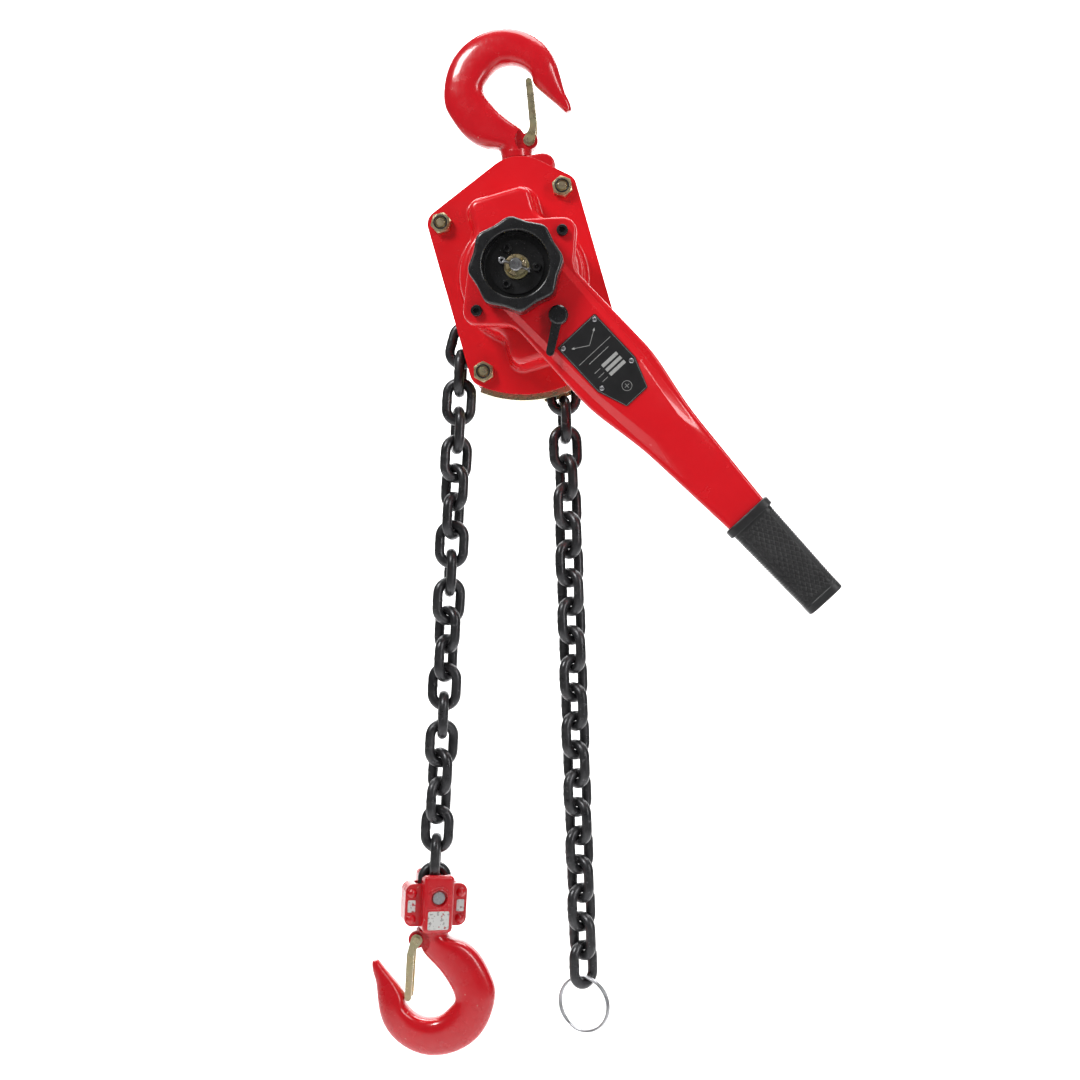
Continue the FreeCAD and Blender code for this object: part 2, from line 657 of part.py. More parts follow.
def load_gear_clip():
    """An open retaining ring behind the load gear."""
    ring = rod(19.5, Vector(0, 39.6, 0), Vector(0, 41, 0)).cut(rod(16, Vector(0, 39, 0),
                                                                    Vector(0, 42, 0)))
    gap = Part.makeBox(9, 4, 12, Vector(-4.5, 38, 12))
    return feature_of("load_gear_clip", ring.cut(gap), HOUSING)


def disc_gear(name, along):
    """A reduction gear: a wheel driven by the shaft and a pinion that drives the load gear."""
    place = HOUSING.multiply(Placement(Vector(0, 0, along), Rotation(ACROSS, 0 if along > 0 else 180)))
    body = turned(name, [
        (0, 21.2), ("gear_journal", 21.2), ("gear_journal", "pinion_front"), (9, "pinion_front"),
        (9, "wheel_back"), ("gear_journal", "wheel_back"), ("gear_journal", "gear_journal_end"),
        (0, "gear_journal_end"),
    ], place)
    wheel, pinion = int(size("wheel_teeth")), int(size("pinion_teeth"))
    outline = sketch_on(body, f"{name}_wheel", depth="-wheel_back")
    draw(outline, gear_outline(wheel, wheel + 1.2, wheel - 2.5, math.pi / wheel))
    draw(outline, [circle_at(0, 0, 8.5)])
    pad(body, outline, "Sizes.wheel_back - Sizes.wheel_front")
    small = sketch_on(body, f"{name}_pinion", depth="-pinion_back")
    draw(small, gear_outline(pinion, pinion + 2, pinion - 1.8))
    draw(small, [circle_at(0, 0, 8.5)])
    pad(body, small, "Sizes.pinion_back - Sizes.pinion_front")
    return body


# ---------------------------------------------------------------- drive shaft and brake

def drive_shaft():
    """The shaft that the lever drives, with its pinion at the back and its thread in front."""
    body = turned("drive_shaft", [
        (0, "-shaft_front"), (5, "-shaft_front"), ("thread_radius", -115),
        ("thread_radius", "-pressure_front"), ("shaft_radius", "-pressure_front"),
        ("shaft_radius", 54.6), ("shaft_tail_radius", 54.6), ("shaft_tail_radius", 62), (0, 62),
    ], SHAFT)
    teeth = int(size("shaft_teeth"))
    outline = sketch_on(body, "shaft_pinion", depth="-wheel_back")
    draw(outline, gear_outline(teeth, teeth + 2, teeth - 1.7))
    draw(outline, [circle_at(0, 0, 6.5)])
    pad(body, outline, "Sizes.wheel_back - Sizes.wheel_front")
    cross = sketch_on(body, "cotter_hole", "YZ_Plane")
    draw(cross, [circle_at(-109.5, 0, 1.6)])
    through = pocket(body, cross, 30)
    through.Midplane = True
    return body


def friction_hub():
    return turned("friction_hub", [
        ("shaft_radius", "-hub_back"), ("shaft_radius", "-hub_front"), ("hub_radius", "-hub_front"),
        ("hub_radius", "-hub_flange"), ("friction_radius", "-hub_flange"),
        ("friction_radius", "-hub_back"),
    ], HOUSING)


def friction_discs():
    solids = []
    for back, front in (("hub_flange", "ratchet_back"), ("ratchet_front", "pressure_back")):
        ends = [Vector(0, -size(back) - 0.05, 0), Vector(0, -size(front) + 0.05, 0)]
        solids.append(rod(30.5, *ends).cut(rod(size("hub_radius") + 0.2, *ends)))
    return feature_of("friction_discs", Part.makeCompound(solids), HOUSING)


def ratchet_wheel():
    teeth, tip, root = int(size("ratchet_teeth")), size("ratchet_radius"), size("ratchet_root")
    step = 2 * math.pi / teeth
    body = new_body("ratchet_wheel", HOUSING)
    outline = sketch_on(body, "ratchet_outline", depth="ratchet_back")
    flanks = [(root, -0.42 * step), (tip, 0.18 * step), (tip, 0.3 * step), (root, 0.34 * step)]
    draw(outline, toothed(teeth, root, flanks))
    draw(outline, [circle_at(0, 0, size("hub_radius") + 0.1)])
    pad(body, outline, "Sizes.ratchet_front - Sizes.ratchet_back")
    return keep(body)


def change_gear():
    """The brake's pressure nut, whose toothed end sits inside the lever's head."""
    body = turned("change_gear", [
        ("thread_radius", "-pressure_back"), ("friction_radius", "-pressure_back"),
        ("friction_radius", "-pressure_front"), ("neck_radius", "-pressure_front"),
        ("neck_radius", "-change_back"), ("change_root", "-change_back"),
        ("change_root", "-change_front"), ("change_hub", "-change_front"),
        ("change_hub", "-change_hub_front"), ("thread_radius", "-change_hub_front"),
    ], HOUSING)
    teeth = int(size("change_teeth"))
    step = 2 * math.pi / teeth
    tip, root = size("change_tip"), size("change_root")
    outline = sketch_on(body, "change_teeth_outline", depth="change_back")
    flanks = [(root, -0.3 * step), (tip, -0.2 * step), (tip, 0.2 * step), (root, 0.3 * step)]
    draw(outline, toothed(teeth, root, flanks))
    draw(outline, [circle_at(0, 0, root - 3)])
    pad(body, outline, "Sizes.change_front - Sizes.change_back")
    relief = sketch_on(body, "shaft_relief", depth="pressure_front")
    hole(relief, 0, 0, "shaft_radius")
    pocket(body, relief, 6)
    return body


def castle_nut():
    body = turned("castle_nut", [
        ("thread_radius", "-nut_back"), ("nut_radius", "-nut_back"), ("nut_radius", "-nut_skirt"),
        ("castle_radius", "-nut_skirt"), ("castle_radius", -111), (9.2, "-nut_front"),
        ("thread_radius", "-nut_front"),
    ], SHAFT)
    slots = sketch_on(body, "nut_slots", depth="nut_front")
    half = size("slot_half")
    for turn in (0, 60, 120):
        strip = block_outline(-14, 14, -half, half, 0.5)
        for edge in strip:
            edge.rotate(Placement(Vector(), Rotation(UP, turn)))
        single = slots if turn == 0 else sketch_on(body, f"nut_slots_{turn}", depth="nut_front")
        draw(single, strip)
        pocket(body, single, "Sizes.nut_front - Sizes.slot_floor")
        doc.recompute()
    return body


def cotter_pin():
    """A split pin through the shaft and the nut's slots, with its eye at the upper left."""
    shank = rod(1.3, Vector(-12, -109.5, 0), Vector(11.2, -109.5, 0))
    eye = Part.makeTorus(2.3, 1.0, Vector(-14, -109.5, 0), ACROSS)
    upper = rod(0.9, Vector(10.8, -109.5, 0), Vector(13.2, -112.2, 1.0))
    lower = rod(0.9, Vector(10.8, -109.5, 0), Vector(13.4, -107.4, -1.4))
    shape = shank.fuse([eye, upper, lower])
    return feature_of("cotter_pin", shape, SHAFT)


def coil(radius, wire, pitch, turns, start):
    """A round-wire coil along +Y from a starting depth."""
    helix = Part.makeHelix(pitch, pitch * turns, radius)
    circle = Part.Wire(Part.makeCircle(wire, Vector(radius, 0, 0), ACROSS))
    sweep = Part.Wire(helix).makePipeShell([circle], True, True)
    sweep.rotate(Vector(), Vector(1, 0, 0), -90)
    sweep.translate(Vector(0, start, 0))
    return Part.makeCompound([sweep])


def free_wheel_spring():
    """A plain sleeve in place of the light coil between the change gear and the handwheel."""
    return turned("free_wheel_spring", [
        (9.1, -98.1), (10.1, -98.1), (10.1, -92.6), (9.1, -92.6),
    ], HOUSING)


def pawl_springs():
    solids = []
    for side in (1, -1):
        spring = coil(5.6, 0.6, 1.6, 3, -34.5)
        spring.translate(Vector(side * size("pawl_across"), 0, side * size("pawl_along")))
        solids.append(spring)
    return feature_of("pawl_springs", Part.makeCompound(solids), HOUSING)


def pawl_studs():
    stud = turned("pawl_stud_pattern", [
        (0, "-plate_inner"), ("stud_pin", "-plate_inner"), ("stud_pin", -43), (6, -43), (6, -45),
        (0, -45),
    ], kept=False)
    places = [Placement(Vector(side * size("pawl_across"), 0, side * size("pawl_along")), Rotation())
              for side in (1, -1)]
    return copies("pawl_studs", stud, places, HOUSING)


def ratchet_pawl(name, side):
    """A pawl that rides on the ratchet wheel; the two are half a turn apart."""
    place = HOUSING.multiply(Placement(Vector(), Rotation(ACROSS, 0 if side > 0 else 180)))
    body = new_body(name, place)
    outline = sketch_on(body, f"{name}_outline")
    outline.setExpression("AttachmentOffset.Base.z", "Sizes.ratchet_back + 0.3")
    across, along = size("pawl_across"), size("pawl_along")
    nose = Vector(-13.2, 36.2, 0)
    heel = Vector(across + 3, along + 8, 0)
    draw(outline, belt([(across, along, 7.5), (heel.x, heel.y, 4), (nose.x, nose.y + 3.4, 2.4),
                        (nose.x, nose.y, 2)]))
    hole(outline, across, along, "pawl_bore")
    pad(body, outline, 4.4)
    return keep(body)


# ---------------------------------------------------------------- handwheel

def handwheel_outline():
    circles = []
    count = int(size("grip_lobes"))
    for index in range(count):
        lobe = math.radians(size("first_lobe") + 360 * index / count)
        valley = lobe + math.pi / count
        far, near = size("lobe_circle"), size("valley_circle")
        circles.append((far * math.cos(lobe), far * math.sin(lobe), size("lobe_radius")))
        circles.append((near * math.cos(valley), near * math.sin(valley), -size("valley_radius")))
    return belt(circles)


def screw_places():
    """The three screws of the handwheel's disc, as angles round the shaft."""
    for degrees in (102, -19, -136):
        angle = math.radians(degrees)
        yield size("screw_circle") * math.cos(angle), size("screw_circle") * math.sin(angle)


def handwheel():
    body = new_body("handwheel", HOUSING)
    outline = sketch_on(body, "handwheel_outline", depth="handwheel_back")
    draw(outline, handwheel_outline())
    pad(body, outline, "Sizes.handwheel_front - Sizes.handwheel_back")
    soften(body, 3, at_depth(-size("handwheel_front")))
    soften(body, 1.5, at_depth(-size("handwheel_back")))
    recess = sketch_on(body, "handwheel_recess", depth="handwheel_front")
    hole(recess, 0, 0, "recess_radius")
    pocket(body, recess, "Sizes.handwheel_front - Sizes.handwheel_floor")
    soften(body, 2, at_depth(-size("handwheel_front"), within=31))
    bore = sketch_on(body, "handwheel_bore_circle", depth="handwheel_floor")
    hole(bore, 0, 0, "handwheel_bore")
    for across, along in screw_places():
        draw(bore, [circle_at(across, along, 2.5)])
    pocket(body, bore, 10)
    return keep(body)


def handwheel_disc():
    body = new_body("handwheel_disc", HOUSING)
    outline = sketch_on(body, "disc_outline", depth="handwheel_floor")
    hole(outline, 0, 0, "disc_radius")
    hole(outline, 0, 0, "disc_bore")
    for across, along in screw_places():
        draw(outline, [circle_at(across, along, 2.5)])
    pad(body, outline, "Sizes.disc_front - Sizes.handwheel_floor")
    return keep(body)


def socket_screw(name, head_back, head_height, head_radius, shank_radius, shank_back):
    """A socket-head screw with its head towards the front."""
    front = -head_back - head_height
    body = turned(name, [
        (0, front), (head_radius - 0.5, front), (head_radius, front + 0.5), (head_radius, -head_back),
        (shank_radius, -head_back), (shank_radius, -shank_back), (0, -shank_back),
    ], kept=False)
    socket = sketch_on(body, f"{name}_socket")
    socket.AttachmentOffset = Placement(Vector(0, 0, -front), Rotation())
    draw(socket, six_sided(head_radius * 0.58))
    pocket(body, socket, head_height * 0.6)
    return body


def handwheel_screws():
    pattern = socket_screw("disc_screw_pattern", size("disc_front"), 5, 4.2, 2.5, 94.5)
    places = [Placement(Vector(across, 0, along), Rotation()) for across, along in screw_places()]
    return copies("handwheel_screws", pattern, places, HOUSING)


# ---------------------------------------------------------------- lever

def lever_outline(inset=0.0):
    """The lever's plan: a round head with two screw ears, then a tapering arm along +X."""
    ear, offset, head = size("ear_radius"), size("ear_offset"), size("head_radius")
    lower = [(2, -offset, ear), (45, -61, -23), (128, 120.8, 160), (238, -326.8, -300),
             (size("lever_end") - 5, -9.5, 5)]
    upper = [(along, -across, radius) for along, across, radius in reversed(lower)]
    circles = [(0, 0, head)] + lower + upper
    return belt([(along, across, radius - inset) for along, across, radius in circles])


def face_outline(inset=0.0, end=245):
    """The raised panel on the lever's front; its far end is a long ramp."""
    circles = [(0, 0, 36.5), (132, 35.2, 66.5), (end, -9.3, 12.5), (end, 9.3, 12.5),
               (132, -35.2, 66.5)]
    return belt([(along, across, radius - inset) for along, across, radius in circles])


def hollow_outline():
    """The room inside the lever's two shells."""
    return belt([(0, 0, 35.5), (120, 165.5, 200), (296, -15, 3), (296, 15, 3), (120, -165.5, 200)])


def ear_places():
    return [(2, side * size("ear_offset")) for side in (-1, 1)]


def lever_front_shell():
    body = new_body("lever_front_shell", LEVER)
    outline = sketch_on(body, "front_shell_outline", depth="lever_split")
    draw(outline, lever_outline())
    pad(body, outline, "Sizes.lever_flange - Sizes.lever_split")
    soften(body, 3, at_depth(-size("lever_flange")))
    foot = sketch_on(body, "face_foot")
    foot.setExpression("AttachmentOffset.Base.z", "Sizes.lever_flange - 0.5")
    draw(foot, face_outline())
    top = sketch_on(body, "face_top", depth="lever_face")
    draw(top, face_outline(6.5, size("ramp_start")))
    raised = body.newObject("PartDesign::AdditiveLoft", "raised_face")
    raised.Profile = foot
    raised.Sections = [top]
    raised.Ruled = True
    doc.recompute()
    room = sketch_on(body, "front_shell_room", depth="lever_split")
    draw(room, hollow_outline())
    pocket(body, room, "Sizes.lever_flange - Sizes.lever_split - Sizes.shell_wall", forwards=True)
    deep = sketch_on(body, "front_shell_deep", depth="lever_split")
    draw(deep, face_outline(8.5, size("ramp_start")))
    pocket(body, deep, "Sizes.lever_face - Sizes.lever_split - Sizes.shell_wall - 1", forwards=True)
    openings = sketch_on(body, "front_shell_openings", depth="lever_face")
    hole(openings, 0, 0, "hub_hole")
    draw(openings, [circle_at(size("selector_along"), -size("selector_across"), 4.06)])
    for along, across in ear_places():
        hole(openings, along, across, "ear_screw_hole")
    pocket(body, openings, 20)
    return keep(body)


def lever_rear_shell():
    body = new_body("lever_rear_shell", LEVER)
    outline = sketch_on(body, "rear_shell_outline", depth="lever_back")
    draw(outline, lever_outline())
    pad(body, outline, "Sizes.lever_split - Sizes.lever_back")
    soften(body, 2.5, at_depth(-size("lever_back")))
    room = sketch_on(body, "rear_shell_room", depth="lever_split")
    draw(room, hollow_outline())
    pocket(body, room, "Sizes.lever_split - Sizes.lever_back - Sizes.shell_wall")
    openings = sketch_on(body, "rear_shell_openings", depth="lever_split")
    hole(openings, 0, 0, "neck_hole")
    for along, across in ear_places():
        hole(openings, along, across, "ear_screw_hole")
    pocket(body, openings, 20)
    return keep(body)


def lever_screws():
    pattern = socket_screw("ear_screw_pattern", size("lever_flange"), 5.5, 5.2, 3, 69.5)
    places = [Placement(Vector(along, 0, across), Rotation()) for along, across in ear_places()]
    return copies("lever_screws", pattern, places, LEVER)


def lever_grip():
    """A moulded rubber sleeve with a collar at its start and a lip at its end."""
    body = new_body("lever_grip", LEVER)
    start, end = size("grip_start"), size("grip_end")
    sleeve = sketch_on(body, "grip_sleeve", depth="grip_back")
    draw(sleeve, belt([(start + 5, -20.2, 3), (end - 8, -15.8, 4), (end - 8, 15.8, 4),
                       (start + 5, 20.2, 3)]))
    pad(body, sleeve, "Sizes.grip_front - Sizes.grip_back")
    soften(body, 5, at_depth(-size("grip_front")))
    soften(body, 5, at_depth(-size("grip_back")))
    for name, first, last, half, spread in (("collar", start, start + 9, 25, 1.4),
                                            ("lip", end - 8, end, 19.9, 0.8)):
        ring = sketch_on(body, f"grip_{name}")
        ring.AttachmentOffset = Placement(Vector(0, 0, size("grip_back") - spread), Rotation())
        draw(ring, block_outline(first, last, -half, half, 2.2))
        pad(body, ring, size("grip_front") - size("grip_back") + 2 * spread)
    core = sketch_on(body, "grip_core", depth="lever_back")
    draw(core, lever_outline())
    pocket(body, core, "Sizes.lever_flange - Sizes.lever_back", forwards=True)
    return keep(body)


def name_plate_outline():
    start, shoulder, end = size("plate_start"), size("plate_shoulder"), size("plate_end")
    wide, narrow = size("name_plate_half"), size("name_plate_tip")
    return belt([(start + 2, -wide + 2, 2), (shoulder, -wide + 4, 4), (end - 2, -narrow + 2, 2),
                 (end - 2, narrow - 2, 2), (shoulder, wide - 4, 4), (start + 2, wide - 2, 2)])


def rivet_places():
    return [(83, -19.6), (83, 19.6), (134, -18.4), (134, 18.4)]


def name_plate():
    body = new_body("name_plate", LEVER)
    outline = sketch_on(body, "name_plate_shape", depth="lever_face")
    draw(outline, name_plate_outline())
    for along, across in rivet_places():
        draw(outline, [circle_at(along, across, 1.5)])
    pad(body, outline, "Sizes.name_plate_thick")
    return keep(body)


def name_plate_rivets():
    rivet = turned("small_rivet_pattern", [
        (0, -94), (1.6, -93.8), (2.5, -93), (1.5, -93), (1.5, -90.5), (0, -90.5),
    ], kept=False)
    places = [Placement(Vector(along, 0, across), Rotation()) for along, across in rivet_places()]
    return copies("name_plate_rivets", rivet, places, LEVER)


def selector_place():
    return LEVER.multiply(Placement(Vector(size("selector_along"), 0, -size("selector_across")),
                                    Rotation(ACROSS, size("selector_angle"))))


def selector_knob():
    """The up, free and down selector: a boss with a thumb bar and a spindle through the shell."""
    body = turned("selector_knob", [
        (0, -101), (7.5, -101), (9, -99.5), (9, -92.4), (4, -92.4), (4, -72.5), (0, -72.5),
    ], selector_place())
    bar = sketch_on(body, "thumb_bar")
    bar.AttachmentOffset = Placement(Vector(0, 0, 95), Rotation())
    reach = size("selector_reach")
    draw(bar, belt([(0, 0, 4.6), (reach - 3.7, 0, 3.7)]))
    pad(body, bar, 5)
    return body


def shift_pawl():
    """The double-ended pawl on the selector's spindle, here in its free middle position."""
    body = new_body("shift_pawl", selector_place())
    outline = sketch_on(body, "shift_pawl_outline")
    outline.AttachmentOffset = Placement(Vector(0, 0, 73), Rotation())
    toward = math.radians(180 + size("selector_angle"))
    noses = []
    for spread in (-16, 16):
        angle = toward + math.radians(spread)
        noses.append((27 * math.cos(angle), 27 * math.sin(angle), 3))
    draw(outline, belt([(0, 0, 9)] + noses))
    draw(outline, [circle_at(0, 0, 4)])
    pad(body, outline, 10.5)
    return keep(body)


# ---------------------------------------------------------------- yoke and hooks

def top_yoke_halves():
    """Two forged halves that close round the top hook's collar and hang on the top pin."""
    top, half = size("yoke_top"), size("yoke_half")
    outline = belt([(0, 0, 24), (25, top - 12, 12), (-5, top - 13, 11)])
    neck = rod(size("shank_bore"), Vector(0, 0, 20), Vector(0, 0, top + 1))
    room = rod(size("shank_head") + 0.3, Vector(0, 0, 21.7), Vector(0, 0, 30.2))
    pin = rod(size("yoke_bore"), Vector(0, -half, 0), Vector(0, half, 0))
    solids = []
    for back, front in ((-0.05, -half), (half, 0.05)):
        solid = prism(outline, back, front)
        rim = [edge for edge in solid.Edges
               if abs(abs(edge.BoundBox.YMin) - half) < 0.01 and abs(abs(edge.BoundBox.YMax) - half) < 0.01]
        solid = solid.makeFillet(3, rim).cut([neck, room, pin] + yoke_rivet_bars(3.1))
        solids.append(solid)
    return feature_of("top_yoke_halves", Part.makeCompound(solids), YOKE)


def yoke_rivet_bars(radius, reach=0.0):
    half = size("yoke_half") + reach
    places = [(27, 28), (-17, 13), (14, -9), (-14, -9)]
    return [rod(radius, Vector(x, -half, z), Vector(x, half, z)) for x, z in places]


def top_yoke_rivets():
    return feature_of("top_yoke_rivets", Part.makeCompound(yoke_rivet_bars(3, 0.6)), YOKE)


def forged_section(inner, outer, inner_thick, outer_thick, squareness):
    """A closed rounded section between two points of the hook's middle plane."""
    middle = (inner + outer) * 0.5
    reach = (outer - inner) * 0.5
    points = []
    count = 20
    for index in range(count):
        angle = 2 * math.pi * index / count
        along = math.copysign(abs(math.cos(angle)) ** (2 / squareness), math.cos(angle))
        side = math.copysign(abs(math.sin(angle)) ** (2 / squareness), math.sin(angle))
        thick = (inner_thick * (1 - along) + outer_thick * (1 + along)) / 4
        points.append(middle + reach * along + Vector(0, side * thick, 0))
    curve = Part.BSplineCurve()
    curve.interpolate(Points=points, PeriodicFlag=True)
    return Part.Wire(curve.toShape())


def hook_body():
    """The forged hook without its shank: bowl centre at the origin, neck below it."""
    def polar(radius, degrees):
        return Vector(radius * math.cos(math.radians(degrees)), 0,
                      radius * math.sin(math.radians(degrees)))

    thick, bowl, drop = size("hook_thick"), size("bowl_radius"), size("neck_drop")
    sections = [
        forged_section(Vector(15.8, 0, -drop), Vector(-15.8, 0, -drop), 30, 30, 2),
        forged_section(Vector(11.5, 0, -47.5), Vector(-26, 0, -54), 29, 27, 2.3),
        forged_section(Vector(5.2, 0, -37), Vector(-44.5, 0, -43.5), 29, 25, 2.6),
        forged_section(Vector(-9.5, 0, -23.1), Vector(-60, 0, -20.5), thick, 22, 2.6),
    ]
    for degrees, outer in ((180, 65.6), (150, 65), (120, 63.6), (90, 61.4), (60, 57.8), (30, 53.6)):
        sections.append(forged_section(polar(bowl, degrees), polar(outer, degrees), thick, 21, 2.6))
    sections += [
        forged_section(polar(25.2, 4), polar(51.8, 2), 24, 17, 2.6),
        forged_section(Vector(36, 0, -11), Vector(54.2, 0, -10), 16, 14, 2.6),
        forged_section(Vector(46.5, 0, -22), Vector(57.4, 0, -19.5), 13, 12, 2.4),
        forged_section(Vector(52, 0, -28.3), Vector(57.6, 0, -26.8), 8, 8, 2),
    ]
    return Part.makeLoft(sections, True, False)


def hook(name, shank_length, collar_length, placement):
    """A swivelling safety hook with a lug for its latch, a collar and a headed shank."""
    drop, foot = size("neck_drop"), size("neck_drop") + shank_length
    pivot = Vector(size("latch_pivot_x"), 0, size("latch_pivot_z"))
    lug = rod(size("lug_radius"), pivot - ACROSS * size("lug_half"), pivot + ACROSS * size("lug_half"))
    shank = rod(size("shank_radius"), Vector(0, 0, -drop + 2), Vector(0, 0, -foot - 1))
    head = rod(size("shank_head"), Vector(0, 0, -foot), Vector(0, 0, -foot - size("head_height")))
    collar = rod(size("hook_collar"), Vector(0, 0, -drop + 1), Vector(0, 0, -drop - collar_length))
    bore = rod(size("latch_pin"), pivot - ACROSS * 40, pivot + ACROSS * 40)
    recess = []
    for side in (-1, 1):
        start = pivot + ACROSS * side * size("lug_half")
        recess.append(rod(size("recess_reach"), start, start + ACROSS * side * 20))
    shape = hook_body().cut(recess).fuse([lug, collar, shank, head]).cut(bore)
    return feature_of(name, shape, placement)


def latch_pin(name, placement):
    pivot = Vector(size("latch_pivot_x"), 0, size("latch_pivot_z"))
    half = size("latch_half")
    shaft = rod(size("latch_pin") - 0.02, pivot - ACROSS * (half + 0.3), pivot + ACROSS * (half + 0.3))
    heads = [rod(3.4, pivot + ACROSS * side * (half + 0.3), pivot + ACROSS * side * (half + 2.2))
             for side in (-1, 1)]
    return feature_of(name, shaft.fuse(heads), placement)


def latch(name, placement):
    """A pressed safety latch: two cheeks on the lug and a tongue that closes the hook's mouth."""
    pivot = Vector(size("latch_pivot_x"), size("latch_pivot_z"), 0)
    tip = pivot + Vector(6.1, 60.1, 0)
    cheek_face, half = size("latch_cheek"), size("latch_half")
    cheek = belt([(pivot.x, pivot.y, 5.6), (pivot.x + 5.6, pivot.y + 15, 3.4),
                  (tip.x - 0.4, tip.y - 3, 3.2), (pivot.x - 10, pivot.y + 16, -12)])
    solids = [prism(cheek, side * half, side * cheek_face) for side in (-1, 1)]
    tongue = prism(belt([(pivot.x + 5.6, pivot.y + 12, 1.4), (tip.x + 1.2, tip.y - 2, 1.4)]),
                   half, -half)
    bore = rod(size("latch_bore"), Vector(pivot.x, -20, pivot.y), Vector(pivot.x, 20, pivot.y))
    shape = solids[0].fuse([solids[1], tongue]).cut(bore)
    return feature_of(name, shape.removeSplitter(), placement)


# ---------------------------------------------------------------- hook block

def link_room():
    """The slot the last link swings in and the mouth that clears the link above it."""
    width, flare, foot = size("slot_half_width"), size("slot_flare"), size("slot_foot")
    corner, above = 8, 60
    outline = belt([
        (corner - width, corner - foot, corner), (width - corner, corner - foot, corner),
        (width + 1, 1, -1), (flare, above, 1), (-flare, above, 1), (-width - 1, 1, -1),
    ])
    swing, mouth_radius, mouth_along = 4, size("mouth_radius"), size("mouth_along")
    ends = [Vector(side * swing, 0, mouth_along) for side in (-1, 1)]
    mouth = [Part.makeSphere(mouth_radius, end) for end in ends] + [rod(mouth_radius, *ends)]
    return [prism(outline, size("link_slot"), -size("link_slot"))] + mouth


def hook_block_halves():
    """Two clamped halves round the last link, the chain pin and the hook's headed shank."""
    wide, top, bottom = size("block_half_width"), size("block_top"), size("block_bottom")
    cheek, half = size("cheek_half"), size("block_half")
    plate = block_outline(-wide, wide, -size("ear_bottom"), size("ear_top"), 8)
    core = block_outline(-size("block_core"), size("block_core"), -bottom, top, 5)
    cuts = link_room() + [
        rod(size("shank_bore"), Vector(0, 0, -bottom - 1), Vector(0, 0, -20)),
        rod(size("shank_head") + 0.3, Vector(0, 0, -25.0), Vector(0, 0, -17.3)),
        rod(size("chain_pin_bore"), Vector(0, -half, 0), Vector(0, half, 0)),
    ]
    for side in (-1, 1):
        cuts.append(rod(size("pin_recess"), ACROSS * side * size("recess_floor"), ACROSS * side * half))
    cuts += block_rivet_bars(2.6, half)
    solids = []
    for side in (-1, 1):
        slab = prism(plate, side * 0.05, side * cheek)
        bulge = prism(core, side * 0.05, side * half)
        solid = slab.fuse(bulge)
        rim = [edge for edge in solid.Edges if edge.BoundBox.YLength < 0.01
               and abs(edge.BoundBox.Center.y) > half - 0.1]
        solids.append(solid.makeFillet(3.5, rim).cut(cuts))
    return feature_of("hook_block_halves", Part.makeCompound(solids), BLOCK)


def block_rivet_bars(radius, half):
    out = size("rivet_across")
    places = [(across, along) for across in (-out, out)
              for along in (size("rivet_low"), size("rivet_high"))]
    return [rod(radius, Vector(x, -half, z), Vector(x, half, z)) for x, z in places]


def hook_block_rivets():
    """Four dome-headed rivets through the block's flanges."""
    cheek = size("cheek_half")
    solids = []
    for bar in block_rivet_bars(2.55, cheek + 0.5):
        x, z = bar.BoundBox.Center.x, bar.BoundBox.Center.z
        caps = []
        for side in (-1, 1):
            dome = Part.makeSphere(5.2, Vector(x, side * (cheek - 1.6), z))
            keep_out = Part.makeBox(20, 20, 20, Vector(x - 10, -10 + side * 10, z - 10))
            keep_out.translate(Vector(0, side * cheek, 0))
            caps.append(dome.common(keep_out))
        solids.append(bar.fuse(caps))
    return feature_of("hook_block_rivets", Part.makeCompound(solids), BLOCK)


def chain_pin():
    return turned("chain_pin", [
        (0, "-pin_end"), (5.8, "-pin_end"), (6.6, -18.4), (6.6, -17.6), ("chain_pin", -17.6),
        ("chain_pin", 17.6), (6.6, 17.6), (6.6, 18.4), (5.8, "pin_end"), (0, "pin_end"),
    ], BLOCK)


# ---------------------------------------------------------------- chain

def link_shape():
    """One welded link in the XZ plane, long axis along Z."""
    wire, bend = size("wire") / 2, (size("link_width") - size("wire")) / 2
    straight = (size("link_inside") + size("wire")) / 2 - bend
    solids = []
    for side in (-1, 1):
        centre = Vector(0, 0, side * straight)
        half_ring = Part.makeTorus(bend, wire, Vector(0, 0, 0), ACROSS, 0, 360, 180)
        half_ring.rotate(Vector(), ACROSS, -90 * side)
        half_ring.translate(centre)
        solids.append(half_ring)
        solids.append(rod(wire, Vector(side * bend, 0, -straight), Vector(side * bend, 0, straight)))
    return solids[0].fuse(solids[1:]).removeSplitter()


LINK = link_shape()


def link_at(x, z, lean, twist):
    """A link centred at (x, z) from the sheave's axis, leaning from upright, turned on its length."""
    solid = LINK.copy()
    solid.Placement = Placement(Vector(x, 0, z), Rotation(ACROSS, lean) * Rotation(UP, twist))
    return solid


def links_between(corners, first_standing):
    """Links along a chain of corners: standing links span the short gaps, lying ones the long."""
    made = []
    for index, (start, end) in enumerate(zip(corners[:-1], corners[1:])):
        lean = math.degrees(math.atan2(end[0] - start[0], end[1] - start[1]))
        standing = (index % 2 == 0) == first_standing
        made.append(link_at((start[0] + end[0]) / 2, (start[1] + end[1]) / 2, lean,
                            0 if standing else 90))
    return made


def on_sheave(degrees):
    """A chain corner on the sheave's pitch circle."""
    radius, angle = size("pitch_radius"), math.radians(degrees)
    return radius * math.cos(angle), radius * math.sin(angle)


def stepped(start, steps):
    """Corners reached from a start by steps of (length, lean from straight down)."""
    corners = [start]
    for length, lean in steps:
        x, z = corners[-1]
        corners.append((x + length * math.sin(math.radians(lean)),
                        z - length * math.cos(math.radians(lean))))
    return corners


def long_span():
    """Between the two contact points of a lying link."""
    return size("link_inside") + size("wire")


def short_span():
    """What is left of two pitches for a standing link."""
    return 2 * size("link_pitch") - long_span()


